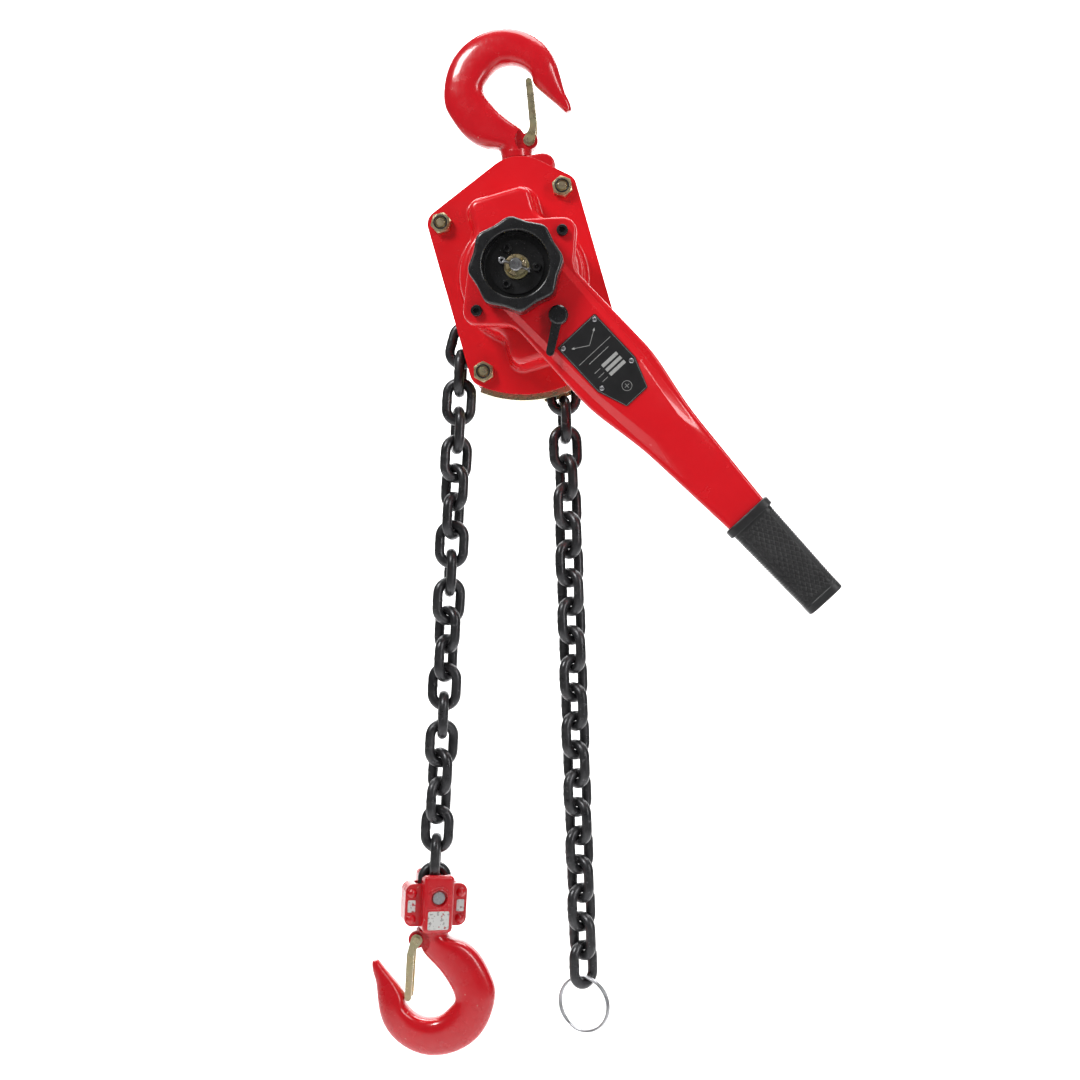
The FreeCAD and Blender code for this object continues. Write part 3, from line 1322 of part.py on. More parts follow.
def wrap_angles():
    """Where the chain's corners lie on the sheave, from the tail side over the top to the load side."""
    lying = math.degrees(math.asin(long_span() / 2 / size("pitch_radius")))
    first, second = size("first_pocket"), size("first_pocket") + 90
    return [second + lying - 180, first - lying, first + lying, second - lying, second + lying]


def load_corners():
    """Corners from the sheave down the load side, bending round the guide roller."""
    left = on_sheave(wrap_angles()[-1])
    return stepped(left, [(short_span(), -26), (long_span(), -21), (short_span(), -15),
                          (long_span(), -3)])


def tail_corners():
    right = on_sheave(wrap_angles()[0])
    return stepped(right, [(long_span(), 0), (short_span(), 0), (long_span(), 0)])


def chain_over_sheave():
    """The links on the sheave and the one that hangs next to it on each side."""
    tail, load = tail_corners(), load_corners()
    made = links_between([tail[1], tail[0]], False)
    made += links_between([on_sheave(angle) for angle in wrap_angles()], True)
    made += links_between(load[:3], True)
    return feature_of("chain_over_sheave", Part.makeCompound(made), SHEAVE)


def load_fall():
    """All links of the load side below the sheave, as placed solids, top one first."""
    corners = load_corners()
    made = links_between(corners[2:], True)
    lean = size("load_lean")
    x, z = corners[-1]
    x -= short_span() / 2 * math.sin(math.radians(lean))
    z -= short_span() / 2 * math.cos(math.radians(lean))
    for index in range(int(size("load_links")) - 2):
        step = index * size("link_pitch")
        twist = 90 * index + size("load_twist") * index
        made.append(link_at(x - step * math.sin(math.radians(lean)),
                            z - step * math.cos(math.radians(lean)), lean, twist))
    return made


def tail_fall():
    corners = tail_corners()
    made = links_between(corners[1:], True)
    lean = size("tail_lean")
    x, z = corners[-1]
    x += short_span() / 2 * math.sin(math.radians(lean))
    z -= short_span() / 2 * math.cos(math.radians(lean))
    for index in range(int(size("tail_links")) - 2):
        step = index * size("link_pitch")
        twist = 90 * index + min(size("tail_twist") * index, size("tail_twist_limit"))
        made.append(link_at(x + step * math.sin(math.radians(lean)),
                            z - step * math.cos(math.radians(lean)), -lean, twist))
    return made


def chain_falls():
    """Each fall is split where its lower part can swing on the link above."""
    load, tail = load_fall(), tail_fall()
    feature_of("load_chain_upper", Part.makeCompound(load[:13]), SHEAVE)
    feature_of("load_chain_lower", Part.makeCompound(load[13:]), SHEAVE)
    feature_of("tail_chain_upper", Part.makeCompound(tail[:3]), SHEAVE)
    feature_of("tail_chain_lower", Part.makeCompound(tail[3:]), SHEAVE)
    return tail[-1]


def tail_ring(last_link):
    """A double-turn split ring that hangs in the last link of the tail."""
    wire, radius = size("ring_wire"), size("ring_radius")
    link_foot = last_link.Placement.Base + SHEAVE.Base
    top = link_foot.z - size("link_inside") / 2 + 0.35 + wire
    shape = Part.makeTorus(radius, wire, Vector(0, -1.15, 0), ACROSS)
    shape = shape.fuse(Part.makeTorus(radius, wire, Vector(0, 1.15, 0), ACROSS))
    lean = math.radians(size("tail_lean"))
    across = link_foot.x + size("link_inside") / 2 * math.sin(lean)
    place = Placement(Vector(across, 0, top - radius), Rotation(UP, size("ring_yaw")))
    return feature_of("tail_ring", shape, place)


# ---------------------------------------------------------------- the whole hoist

side_plate("front_side_plate", "plate_inner", gear_bushes=False)
side_plate("rear_side_plate", "-plate_outer", gear_bushes=True)
brake_cover()
gear_case()
stay_bolts()
stay_nuts()
guide_rollers()
chain_guide()
chain_stripper()
bearing_rings()
bearing_needles()
gear_bushes()
top_pin()
pawl_studs()
pawl_springs()
load_sheave()
load_gear()
load_gear_clip()
disc_gear("upper_disc_gear", size("gear_centres"))
disc_gear("lower_disc_gear", -size("gear_centres"))
drive_shaft()
friction_hub()
friction_discs()
ratchet_wheel()
change_gear()
castle_nut()
cotter_pin()
free_wheel_spring()
ratchet_pawl("upper_pawl", 1)
ratchet_pawl("lower_pawl", -1)
handwheel()
handwheel_disc()
handwheel_screws()
lever_front_shell()
lever_rear_shell()
lever_screws()
lever_grip()
name_plate()
name_plate_rivets()
selector_knob()
shift_pawl()
top_yoke_halves()
top_yoke_rivets()
hook("top_hook", size("top_shank"), size("top_collar"), TOP_HOOK)
latch_pin("top_latch_pin", TOP_HOOK)
latch("top_latch", TOP_HOOK)
hook_block_halves()
hook_block_rivets()
chain_pin()
hook("load_hook", size("load_shank"), size("load_collar"), LOAD_HOOK)
latch_pin("load_latch_pin", LOAD_HOOK)
latch("load_latch", LOAD_HOOK)
chain_over_sheave()
tail_ring(chain_falls())

doc.recompute()
for item in doc.Objects:
    if "Invalid" in item.State or "Error" in item.State:
        raise RuntimeError(f"{item.Label} failed to recompute: {item.State}")
for part in PARTS:
    if part.Shape.isNull() or not part.Shape.isValid():
        raise RuntimeError(f"{part.Label} has no valid shape")
os.makedirs("parts", exist_ok=True)
for part in PARTS:
    part.Shape.exportStep(f"parts/{part.Label}.step")
print(len(PARTS), "sub-parts")
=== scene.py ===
import json
import math

import bmesh
import bpy
import numpy
from mathutils import Matrix, Vector


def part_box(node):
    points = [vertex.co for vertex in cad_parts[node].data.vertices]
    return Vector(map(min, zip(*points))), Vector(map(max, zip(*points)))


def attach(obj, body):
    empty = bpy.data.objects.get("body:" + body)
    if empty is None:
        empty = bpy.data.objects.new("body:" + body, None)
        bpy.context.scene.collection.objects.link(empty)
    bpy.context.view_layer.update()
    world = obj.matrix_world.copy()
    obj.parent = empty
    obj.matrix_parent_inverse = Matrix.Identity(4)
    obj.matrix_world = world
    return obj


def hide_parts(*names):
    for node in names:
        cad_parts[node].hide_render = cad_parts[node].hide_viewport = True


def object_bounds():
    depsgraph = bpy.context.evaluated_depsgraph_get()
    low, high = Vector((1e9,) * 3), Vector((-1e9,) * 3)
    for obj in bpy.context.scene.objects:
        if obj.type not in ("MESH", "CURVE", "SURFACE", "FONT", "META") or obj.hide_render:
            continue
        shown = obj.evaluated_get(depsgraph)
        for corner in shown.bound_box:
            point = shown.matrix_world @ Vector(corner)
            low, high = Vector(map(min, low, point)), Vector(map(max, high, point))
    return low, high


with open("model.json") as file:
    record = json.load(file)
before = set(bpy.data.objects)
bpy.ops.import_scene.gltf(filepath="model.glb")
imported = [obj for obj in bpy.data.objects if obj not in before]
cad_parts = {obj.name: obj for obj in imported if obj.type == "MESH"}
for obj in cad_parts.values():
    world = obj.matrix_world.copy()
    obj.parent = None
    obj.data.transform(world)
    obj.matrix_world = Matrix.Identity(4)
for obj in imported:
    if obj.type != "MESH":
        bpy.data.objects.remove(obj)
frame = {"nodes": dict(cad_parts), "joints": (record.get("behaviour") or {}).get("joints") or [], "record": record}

# The looks of a lever chain hoist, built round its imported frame. Everything is in metres.
# The name plate faces -Y, +Z is up and +X is to the right of someone facing the plate.

CAD_BOX = [list(corner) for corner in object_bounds()]
MM = 0.001
FRONT = Vector((0, -1, 0))

# Sizes that the pieces share with the frame, in millimetres.
LINK_WIRE, LINK_BEND, LINK_STRAIGHT, INSIDE_CAD = 5.0, 12.0, 7.15, 0.02
GRIP_START, GRIP_END, GRIP_MIDDLE = 308.0, 416.0, -78.4
PLATE_FRONT = -93.0
BLOCK_FRONT, BLOCK_CHEEK = -21.0, -9.0
RING_RADIUS, RING_WIRE = 26.2, 1.35
# The second pair sizes the dark ring of painted shade in each stay nut's gap round the stud.
LATCH_PIVOT, SPRING_WIRE = (13.9, -52.1), 0.55
GAP_SHADE_RADIUS, GAP_SHADE_WIRE = 6.1, 0.75


# ---------------------------------------------------------------- places

def joint(name):
    return next(item for item in frame["joints"] if item["name"] == name)


def joint_place(name):
    return Vector(joint(name)["pos_m"])


def middle(node):
    low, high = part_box(node)
    return (low + high) / 2


def basis(origin, along, front=FRONT):
    """A frame with X along a direction, -Y near a front direction and Z across both."""
    x = along.normalized()
    z = x.cross(-front).normalized()
    y = z.cross(x)
    return Matrix.Translation(origin) @ Matrix((x, y, z)).transposed().to_4x4()


def flat(direction):
    return Vector((direction.x, 0, direction.z))


LEVER = basis(joint_place("lever_turn"), flat(middle("lever_grip") - joint_place("lever_turn")))
LOAD_LINE = Vector(joint("load_hook_swivel")["axis"])
TOP_LINE = Vector(joint("top_hook_swivel")["axis"])
BLOCK_PIN = Vector(joint("block_swing")["axis"])
BLOCK = basis(joint_place("block_swing"), BLOCK_PIN.cross(LOAD_LINE), -BLOCK_PIN)
TOP_HOOK = basis(joint_place("top_hook_swivel"), Vector((0, 1, 0)).cross(TOP_LINE))
LOAD_HOOK = basis(joint_place("load_hook_swivel"), -Vector((0, 1, 0)).cross(LOAD_LINE))


# ---------------------------------------------------------------- node materials

class Surface:
    """A node material built up step by step round one Principled shader."""

    def __init__(self, name, colour, metallic, roughness):
        self.material = bpy.data.materials.new(name)
        self.material.use_nodes = True
        self.tree = self.material.node_tree
        self.shader = self.tree.nodes["Principled BSDF"]
        self.shader.inputs["Metallic"].default_value = metallic
        self.shader.inputs["Roughness"].default_value = roughness
        self.shader.inputs["Base Color"].default_value = (*colour, 1)
        self.roughness = roughness
        self.colour = self.fixed_colour(colour)
        self.place = self.tree.nodes.new("ShaderNodeTexCoord").outputs["Object"]
        self.normal = None

    def add(self, kind, **settings):
        node = self.tree.nodes.new(kind)
        for key, value in settings.items():
            setattr(node, key, value)
        return node

    def link(self, source, target):
        self.tree.links.new(source, target)

    def fixed_colour(self, colour):
        node = self.add("ShaderNodeRGB")
        node.outputs[0].default_value = (*colour, 1)
        return node.outputs[0]

    def noise(self, scale, detail=4, stretch=None):
        """Noise over the object, a scale of so many cells to the metre."""
        node = self.add("ShaderNodeTexNoise")
        node.inputs["Scale"].default_value = scale
        node.inputs["Detail"].default_value = detail
        source = self.place
        if stretch:
            mapping = self.add("ShaderNodeMapping")
            mapping.inputs["Scale"].default_value = stretch
            self.link(source, mapping.inputs["Vector"])
            source = mapping.outputs["Vector"]
        self.link(source, node.inputs["Vector"])
        return node.outputs["Fac"]

    def spread(self, value, low, high, to_low=0.0, to_high=1.0):
        node = self.add("ShaderNodeMapRange")
        for key, amount in (("From Min", low), ("From Max", high), ("To Min", to_low),
                            ("To Max", to_high)):
            node.inputs[key].default_value = amount
        self.link(value, node.inputs["Value"])
        return node.outputs["Result"]

    def product(self, first, second):
        node = self.add("ShaderNodeMath", operation="MULTIPLY")
        self.link(first, node.inputs[0])
        self.link(second, node.inputs[1])
        return node.outputs[0]

    def tint(self, mask, colour):
        """Another colour wherever a mask is 1."""
        node = self.add("ShaderNodeMix", data_type="RGBA")
        self.link(mask, node.inputs[0])
        self.link(self.colour, node.inputs[6])
        node.inputs[7].default_value = (*colour, 1)
        self.colour = node.outputs[2]
        return self

    def mottle(self, scale, colour, amount, stretch=None):
        """Soft patches of a second colour."""
        return self.tint(self.spread(self.noise(scale, 3, stretch), 0.35, 0.7, 0, amount), colour)

    def vary_roughness(self, scale, span, stretch=None):
        low, high = self.roughness - span, self.roughness + span
        self.link(self.spread(self.noise(scale, 5, stretch), 0.3, 0.7, low, high),
                  self.shader.inputs["Roughness"])
        return self

    def rounded(self, radius):
        """Edges that catch the light as if they had a small radius."""
        node = self.add("ShaderNodeBevel", samples=4)
        node.inputs["Radius"].default_value = radius
        self.normal = node.outputs["Normal"]
        return self

    def bump(self, height, distance, strength=1.0):
        node = self.add("ShaderNodeBump")
        node.inputs["Distance"].default_value = distance
        node.inputs["Strength"].default_value = strength
        self.link(height, node.inputs["Height"])
        if self.normal:
            self.link(self.normal, node.inputs["Normal"])
        self.normal = node.outputs["Normal"]
        return self

    def edge_wear(self, radius, colour, amount, scale=90):
        """Rubbed edges: where the rounded normal leaves the true one, broken up by noise."""
        bevel = self.add("ShaderNodeBevel", samples=4)
        bevel.inputs["Radius"].default_value = radius
        true_normal = self.add("ShaderNodeNewGeometry").outputs["Normal"]
        dot = self.add("ShaderNodeVectorMath", operation="DOT_PRODUCT")
        self.link(bevel.outputs["Normal"], dot.inputs[0])
        self.link(true_normal, dot.inputs[1])
        edge = self.spread(dot.outputs["Value"], 0.97, 0.82, 0, amount)
        broken = self.spread(self.noise(scale, 6), 0.48, 0.6)
        return self.tint(self.product(edge, broken), colour)

    def finish(self, **inputs):
        """Sets the sockets that are the same all over and joins up colour and normal."""
        for name, value in inputs.items():
            self.shader.inputs[name.replace("_", " ")].default_value = value
        self.link(self.colour, self.shader.inputs["Base Color"])
        if self.normal:
            self.link(self.normal, self.shader.inputs["Normal"])
        return self.material


def powder_coat():
    """Bright red gloss with a faint orange peel and slightly rubbed edges."""
    paint = Surface("hoist_red", (0.80, 0.006, 0.014), 0, 0.24)
    paint.mottle(7, (0.72, 0.004, 0.010), 0.55).vary_roughness(60, 0.05)
    paint.edge_wear(0.0011, (0.88, 0.16, 0.15), 0.55)
    paint.rounded(0.0009).bump(paint.noise(900, 2), 0.00012, 0.35)
    return paint.bump(paint.noise(45, 2), 0.0006, 0.15).finish(Coat_Weight=0.5, Coat_Roughness=0.06)


def dip_coat():
    """Thick crimson gloss over a forged skin, pooled and a little lumpy."""
    paint = Surface("hook_red", (0.60, 0.002, 0.010), 0, 0.24)
    paint.mottle(16, (0.72, 0.004, 0.012), 0.6).vary_roughness(80, 0.06)
    chips = paint.spread(paint.noise(150, 8), 0.68, 0.72, 0, 0.75)
    paint.tint(paint.product(chips, paint.spread(paint.noise(18, 2), 0.52, 0.60)), (0.80, 0.35, 0.30))
    paint.rounded(0.0012).bump(paint.noise(70, 4), 0.0011, 0.45)
    return paint.bump(paint.noise(420, 3), 0.00025, 0.4).finish(Coat_Weight=0.7, Coat_Roughness=0.05)


def chain_steel():
    """Oiled black-grey steel with scale marks and brighter rubbed spots."""
    steel = Surface("chain_black", (0.072, 0.072, 0.076), 0.75, 0.36)
    steel.mottle(60, (0.030, 0.030, 0.032), 0.8).vary_roughness(130, 0.10)
    steel.tint(steel.spread(steel.noise(260, 6), 0.62, 0.72, 0, 0.5), (0.20, 0.20, 0.21))
    steel.bump(steel.noise(320, 6), 0.00035, 0.5)
    return steel.bump(steel.noise(60, 3), 0.0007, 0.4).finish(Coat_Weight=0.25, Coat_Roughness=0.2)


def yellow_zinc():
    """Yellow chromate with its drift towards green and pink."""
    zinc = Surface("yellow_zinc", (0.66, 0.55, 0.30), 0.9, 0.30)
    zinc.mottle(55, (0.52, 0.56, 0.36), 0.7).mottle(90, (0.72, 0.50, 0.40), 0.4)
    zinc.vary_roughness(200, 0.08).edge_wear(0.0006, (0.75, 0.72, 0.62), 0.6, 300)
    return zinc.rounded(0.0004).bump(zinc.noise(900, 4), 0.0001, 0.4).finish()


def machined_steel(name="machined_steel", colour=(0.48, 0.48, 0.50), roughness=0.28):
    steel = Surface(name, colour, 1.0, roughness)
    steel.mottle(80, tuple(part * 0.72 for part in colour), 0.6)
    steel.vary_roughness(300, 0.08, (1, 12, 1)).rounded(0.0004)
    return steel.bump(steel.noise(700, 3, (1, 10, 1)), 0.00008, 0.5).finish()


def black_gloss():
    """Moulded black with a soft shine and faint handling marks."""
    paint = Surface("black_gloss", (0.007, 0.007, 0.008), 0, 0.30)
    paint.mottle(40, (0.012, 0.012, 0.013), 0.7).vary_roughness(150, 0.08)
    paint.edge_wear(0.0010, (0.06, 0.06, 0.06), 0.6, 200)
    paint.rounded(0.0010)
    return paint.bump(paint.noise(650, 3), 0.00012, 0.4).finish(Coat_Weight=0.5, Coat_Roughness=0.15)


def black_oxide():
    steel = Surface("black_oxide", (0.022, 0.022, 0.024), 0.6, 0.34)
    steel.mottle(200, (0.05, 0.05, 0.05), 0.5).vary_roughness(400, 0.08)
    steel.edge_wear(0.0005, (0.16, 0.16, 0.16), 0.7, 400)
    return steel.rounded(0.0004).bump(steel.noise(1200, 3), 0.00006, 0.4).finish()


def grip_rubber():
    """Dusty black-grey rubber with a fine grain."""
    rubber = Surface("grip_rubber", (0.013, 0.013, 0.014), 0, 0.40)
    rubber.mottle(35, (0.026, 0.026, 0.027), 0.8).vary_roughness(220, 0.1)
    return rubber.bump(rubber.noise(1500, 4), 0.00012, 0.6).finish(Sheen_Weight=0.15)


def plate_black():
    """Anodised black sheet, faintly brushed along the lever."""
    sheet = Surface("plate_black", (0.012, 0.012, 0.013), 0.2, 0.42)
    sheet.mottle(70, (0.022, 0.022, 0.023), 0.6).vary_roughness(260, 0.08, (14, 1, 1))
    return sheet.bump(sheet.noise(900, 3, (1, 1, 9)), 0.00004, 0.4).finish()


def plate_print():
    """Off-white print with a slightly worn edge."""
    ink = Surface("plate_print", (0.40, 0.40, 0.39), 0, 0.5)
    ink.tint(ink.spread(ink.noise(900, 5), 0.60, 0.66, 0, 0.6), (0.16, 0.16, 0.16))
    return ink.vary_roughness(600, 0.06).bump(ink.noise(1800, 2), 0.00003, 0.4).finish()


def worn_silver():
    """Silver-white paint cracked and speckled down to red and grey."""
    paint = Surface("worn_silver", (0.72, 0.72, 0.70), 0.25, 0.42)
    paint.tint(paint.spread(paint.noise(420, 8), 0.56, 0.62, 0, 0.85), (0.30, 0.29, 0.28))
    paint.tint(paint.spread(paint.noise(210, 8), 0.62, 0.66, 0, 0.9), (0.45, 0.02, 0.03))
    return paint.vary_roughness(500, 0.1).bump(paint.noise(420, 8), 0.0003, 0.6).finish()


def bronze():
    metal = Surface("bronze", (0.42, 0.27, 0.10), 1.0, 0.34)
    metal.mottle(120, (0.30, 0.19, 0.08), 0.6).vary_roughness(400, 0.08).rounded(0.0003)
    return metal.bump(metal.noise(900, 3), 0.00006, 0.4).finish()


def friction_lining():
    lining = Surface("friction_lining", (0.11, 0.075, 0.055), 0, 0.8)
    lining.mottle(500, (0.24, 0.20, 0.14), 0.6).vary_roughness(300, 0.08)
    return lining.bump(lining.noise(900, 5), 0.0002, 0.6).finish()


def studio_white():
    ground = Surface("studio_floor", (0.93, 0.93, 0.93), 0, 0.75)
    ground.mottle(3, (0.91, 0.91, 0.92), 0.4).vary_roughness(8, 0.05)
    return ground.bump(ground.noise(60, 3), 0.0003, 0.1).finish()


RED, CRIMSON, CHAIN, ZINC = powder_coat(), dip_coat(), chain_steel(), yellow_zinc()
STEEL, BRIGHT = machined_steel(), machined_steel("bright_steel", (0.46, 0.46, 0.48), 0.34)
BLACK, OXIDE, RUBBER = black_gloss(), black_oxide(), grip_rubber()
PLATE, PRINT, SILVER = plate_black(), plate_print(), worn_silver()
BY_SLOT = {
    "hoist_paint": RED, "hook_paint": CRIMSON, "chain_steel": CHAIN, "yellow_zinc": ZINC,
    "plain_steel": STEEL, "bright_steel": BRIGHT, "black_paint": BLACK, "black_screw": OXIDE,
    "grip_rubber": RUBBER, "plate_black": PLATE, "bronze": bronze(), "lining": friction_lining(),
}


# ---------------------------------------------------------------- CAD nodes

def smooth_tree(degrees):
    """A geometry node tree that welds a mesh and smooths every edge flatter than an angle."""
    tree = bpy.data.node_groups.new("weld_and_smooth", "GeometryNodeTree")
    tree.interface.new_socket("Geometry", in_out="INPUT", socket_type="NodeSocketGeometry")
    tree.interface.new_socket("Geometry", in_out="OUTPUT", socket_type="NodeSocketGeometry")
    nodes, links = tree.nodes, tree.links
    start, end = nodes.new("NodeGroupInput"), nodes.new("NodeGroupOutput")
    weld = nodes.new("GeometryNodeMergeByDistance")
    weld.inputs["Distance"].default_value = 2e-6
    faces, edges = nodes.new("GeometryNodeSetShadeSmooth"), nodes.new("GeometryNodeSetShadeSmooth")
    edges.domain = "EDGE"
    angle = nodes.new("GeometryNodeInputMeshEdgeAngle")
    sharp = nodes.new("ShaderNodeMath")
    sharp.operation = "LESS_THAN"
    sharp.inputs[1].default_value = math.radians(degrees)
    links.new(start.outputs[0], weld.inputs["Geometry"])
    links.new(weld.outputs["Geometry"], faces.inputs["Geometry"])
    links.new(faces.outputs["Geometry"], edges.inputs["Geometry"])
    links.new(angle.outputs["Unsigned Angle"], sharp.inputs[0])
    links.new(sharp.outputs[0], edges.inputs["Shade Smooth"])
    links.new(edges.outputs["Geometry"], end.inputs[0])
    return tree


def dress_nodes():
    """Gives every CAD node its slot's material and smooth shading between its real edges."""
    tree = smooth_tree(28)
    for part in frame["record"]["subparts"]:
        node = frame["nodes"][part["node"]]
        node.data.materials.clear()
        node.data.materials.append(BY_SLOT[part["material_slot"]])
        own_normals = node.data.attributes.get("custom_normal")
        if own_normals:
            node.data.attributes.remove(own_normals)
        modifier = node.modifiers.new("weld_and_smooth", "NODES")
        modifier.node_group = tree


# ---------------------------------------------------------------- mesh building

def new_piece(name, mesh, material, body):
    """A shown piece that rides on a body."""
    piece = bpy.data.objects.new(name, mesh)
    bpy.context.scene.collection.objects.link(piece)
    mesh.materials.clear()
    mesh.materials.append(material)
    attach(piece, body)
    return piece


def mesh_of(name, points, faces, smooth=True):
    mesh = bpy.data.meshes.new(name)
    mesh.from_pydata([tuple(point) for point in points], [], faces)
    mesh.validate()
    build = bmesh.new()
    build.from_mesh(mesh)
    bmesh.ops.recalc_face_normals(build, faces=build.faces)
    build.to_mesh(mesh)
    build.free()
    for polygon in mesh.polygons:
        polygon.use_smooth = smooth
    return mesh


def grid_faces(rows, columns, closed_rows):
    """Quads over rows of points, each row a closed ring; the rows close too if asked."""
    faces = []
    for row in range(rows if closed_rows else rows - 1):
        following = (row + 1) % rows
        for column in range(columns):
            beside = (column + 1) % columns
            faces.append((row * columns + column, row * columns + beside,
                          following * columns + beside, following * columns + column))
    return faces


def tube(path, radii, around, closed=False):
    """Points and faces of a round tube along a path, capped unless it closes on itself."""
    count, points = len(path), []
    side = None
    for index, centre in enumerate(path):
        ahead = path[(index + 1) % count] if closed or index < count - 1 else centre
        behind = path[index - 1] if closed or index > 0 else centre
        heading = (ahead - behind).normalized()
        if side is None:
            side = heading.orthogonal().normalized()
        side = (side - heading * side.dot(heading)).normalized()
        other = heading.cross(side)
        for step in range(around):
            angle = 2 * math.pi * step / around
            points.append(centre + (side * math.cos(angle) + other * math.sin(angle)) * radii[index])
    faces = grid_faces(count, around, closed)
    if not closed:
        faces.append(tuple(range(around)))
        faces.append(tuple(range((count - 1) * around, count * around)))
    return points, faces


def joined(parts):
    """Several (points, faces) pairs as one."""
    points, faces = [], []
    for own_points, own_faces in parts:
        start = len(points)
        points += own_points
        faces += [tuple(index + start for index in face) for face in own_faces]
    return points, faces


def placed(part, place):
    points, faces = part
    return [place @ point for point in points], faces


# ---------------------------------------------------------------- chain

def link_form():
    """One welded link along Z in the XZ plane, with a raised weld on one of its legs."""
    path = []
    half_turn, leg = 18, 8
    weld_height, weld_half = 0.30, 1.5
    for side in (1, -1):
        for step in range(half_turn + 1):
            angle = math.pi * step / half_turn
            path.append(Vector((LINK_BEND * math.cos(angle) * side, 0,
                                side * (LINK_STRAIGHT + LINK_BEND * math.sin(angle)))))
        for step in range(1, leg):
            down = LINK_STRAIGHT - 2 * LINK_STRAIGHT * step / leg
            path.append(Vector((-LINK_BEND * side, 0, side * down)))
    radii = []
    for point in path:
        on_weld_leg = point.x < -LINK_BEND + 0.01
        weld = weld_height * math.exp(-(point.z / weld_half) ** 2) if on_weld_leg else 0
        radii.append((LINK_WIRE - INSIDE_CAD + weld) * MM)
    points, faces = tube([point * MM for point in path], radii, 18, closed=True)
    return points, faces


def islands(mesh):
    """The separate solids of a CAD node, as lists of triangles."""
    build = bmesh.new()
    build.from_mesh(mesh)
    bmesh.ops.remove_doubles(build, verts=build.verts, dist=2e-6)
    bmesh.ops.triangulate(build, faces=build.faces)
    waiting, found = set(build.faces), []
    while waiting:
        queue, group = [waiting.pop()], []
        while queue:
            face = queue.pop()
            group.append([vertex.co.copy() for vertex in face.verts])
            for edge in face.edges:
                for beside in edge.link_faces:
                    if beside in waiting:
                        waiting.remove(beside)
                        queue.append(beside)
        found.append(group)
    build.free()
    return found


def link_place(triangles):
    """Where a link lies: its centre and axes, from how its skin is spread."""
    corners = numpy.array(triangles)
    area = numpy.linalg.norm(numpy.cross(corners[:, 1] - corners[:, 0], corners[:, 2] - corners[:, 0]),
                             axis=1)
    spots = corners.mean(axis=1)
    points = corners.reshape(-1, 3)
    centre = (spots * area[:, None]).sum(axis=0) / area.sum()
    offset = spots - centre
    spread = (offset * area[:, None]).T @ offset
    axes = numpy.linalg.eigh(spread)[1]
    long_axis, wide_axis = axes[:, 2], axes[:, 1]
    for axis in (long_axis, wide_axis):
        reach = (points - centre) @ axis
        centre = centre + axis * (reach.max() + reach.min()) / 2
    up, across = Vector(long_axis), Vector(wide_axis)
    if up.z < 0:
        up = -up
    if across.x < 0:
        across = -across
    return Matrix.Translation(Vector(centre)) @ Matrix(
        (across, up.cross(across), up)).transposed().to_4x4()


def chains():
    form = link_form()
    runs = {"chain_over_sheave": "housing", "load_chain_upper": "load_upper",
            "load_chain_lower": "load_lower", "tail_chain_upper": "tail_upper",
            "tail_chain_lower": "tail_lower"}
    for node, body in runs.items():
        links = [placed(form, link_place(group)) for group in islands(frame["nodes"][node].data)]
        piece = new_piece(f"{node}_links", mesh_of(node, *joined(links)), CHAIN, body)
        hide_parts(node)


# ---------------------------------------------------------------- split ring and springs

def split_ring():
    """Two turns of round wire that pass each other at a step, as a key ring's do."""
    normal = Vector(joint("ring_swing")["axis"])
    centre = middle("tail_ring")
    across = normal.cross(Vector((0, 0, 1))).normalized()
    path, radii = [], []
    turns, steps, first_angle = 2, 150, -2.2
    half_gap, steepness = 1.3, 40
    for step in range(steps + 1):
        part = step / steps
        angle = 2 * math.pi * turns * part + first_angle
        crossing = 1 / (1 + math.exp(-(part - 0.5) * steepness))
        shift = (crossing * 2 - 1) * half_gap * MM
        path.append(centre + (across * math.cos(angle) + Vector((0, 0, 1)) * math.sin(angle))
                    * RING_RADIUS * MM + normal * shift)
        end = min(part, 1 - part) * steps
        radii.append(RING_WIRE * MM * min(1.0, 0.55 + 0.15 * end))
    piece = new_piece("split_ring", mesh_of("split_ring", *tube(path, radii, 12)), BRIGHT, "ring")
    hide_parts("tail_ring")


def latch_spring_path():
    """A torsion spring round the latch pin, one leg on the hook and one behind the tongue."""
    pivot = Vector((LATCH_PIVOT[0], 0, LATCH_PIVOT[1]))
    radius, turns, steps = 3.9, 2.25, 40
    near, coil_start, advance, far = 5.6, 6.1, 0.8, 6.9
    path = [pivot + Vector((-2.0, near, -9.0)), pivot + Vector((-radius, near, -2.0))]
    for step in range(steps + 1):
        angle = math.pi + 2 * math.pi * turns * step / steps
        path.append(pivot + Vector((radius * math.cos(angle), 0, radius * math.sin(angle)))
                    + Vector((0, coil_start + advance * step / steps, 0)))
    path += [pivot + Vector((3.6, far, 8.0)), pivot + Vector((4.2, far, 16.0))]
    return [point * MM for point in path]


# ---------------------------------------------------------------- grip

def grip_section(along):
    """Half width and half depth of the rubber sleeve at a distance along the lever."""
    part = (along - GRIP_START) / (GRIP_END - GRIP_START)
    start_width, taper = 22.3, 2.9
    collar_length, lip_length = 8.6, 7.6
    round_length, round_depth = 1.6, 1.5
    width, depth = start_width - taper * part, 11.6
    if along <= GRIP_START + collar_length:
        width, depth = 24.8, 12.9
    if along >= GRIP_END - lip_length:
        width, depth = 19.7, 12.3
    edge = min(along - GRIP_START, GRIP_END - along)
    if edge < round_length:
        inward = 1 - math.sqrt(max(0.0, 1 - (1 - edge / round_length) ** 2))
        shrink = round_depth * inward
        width, depth = width - shrink, depth - shrink
    return width, depth


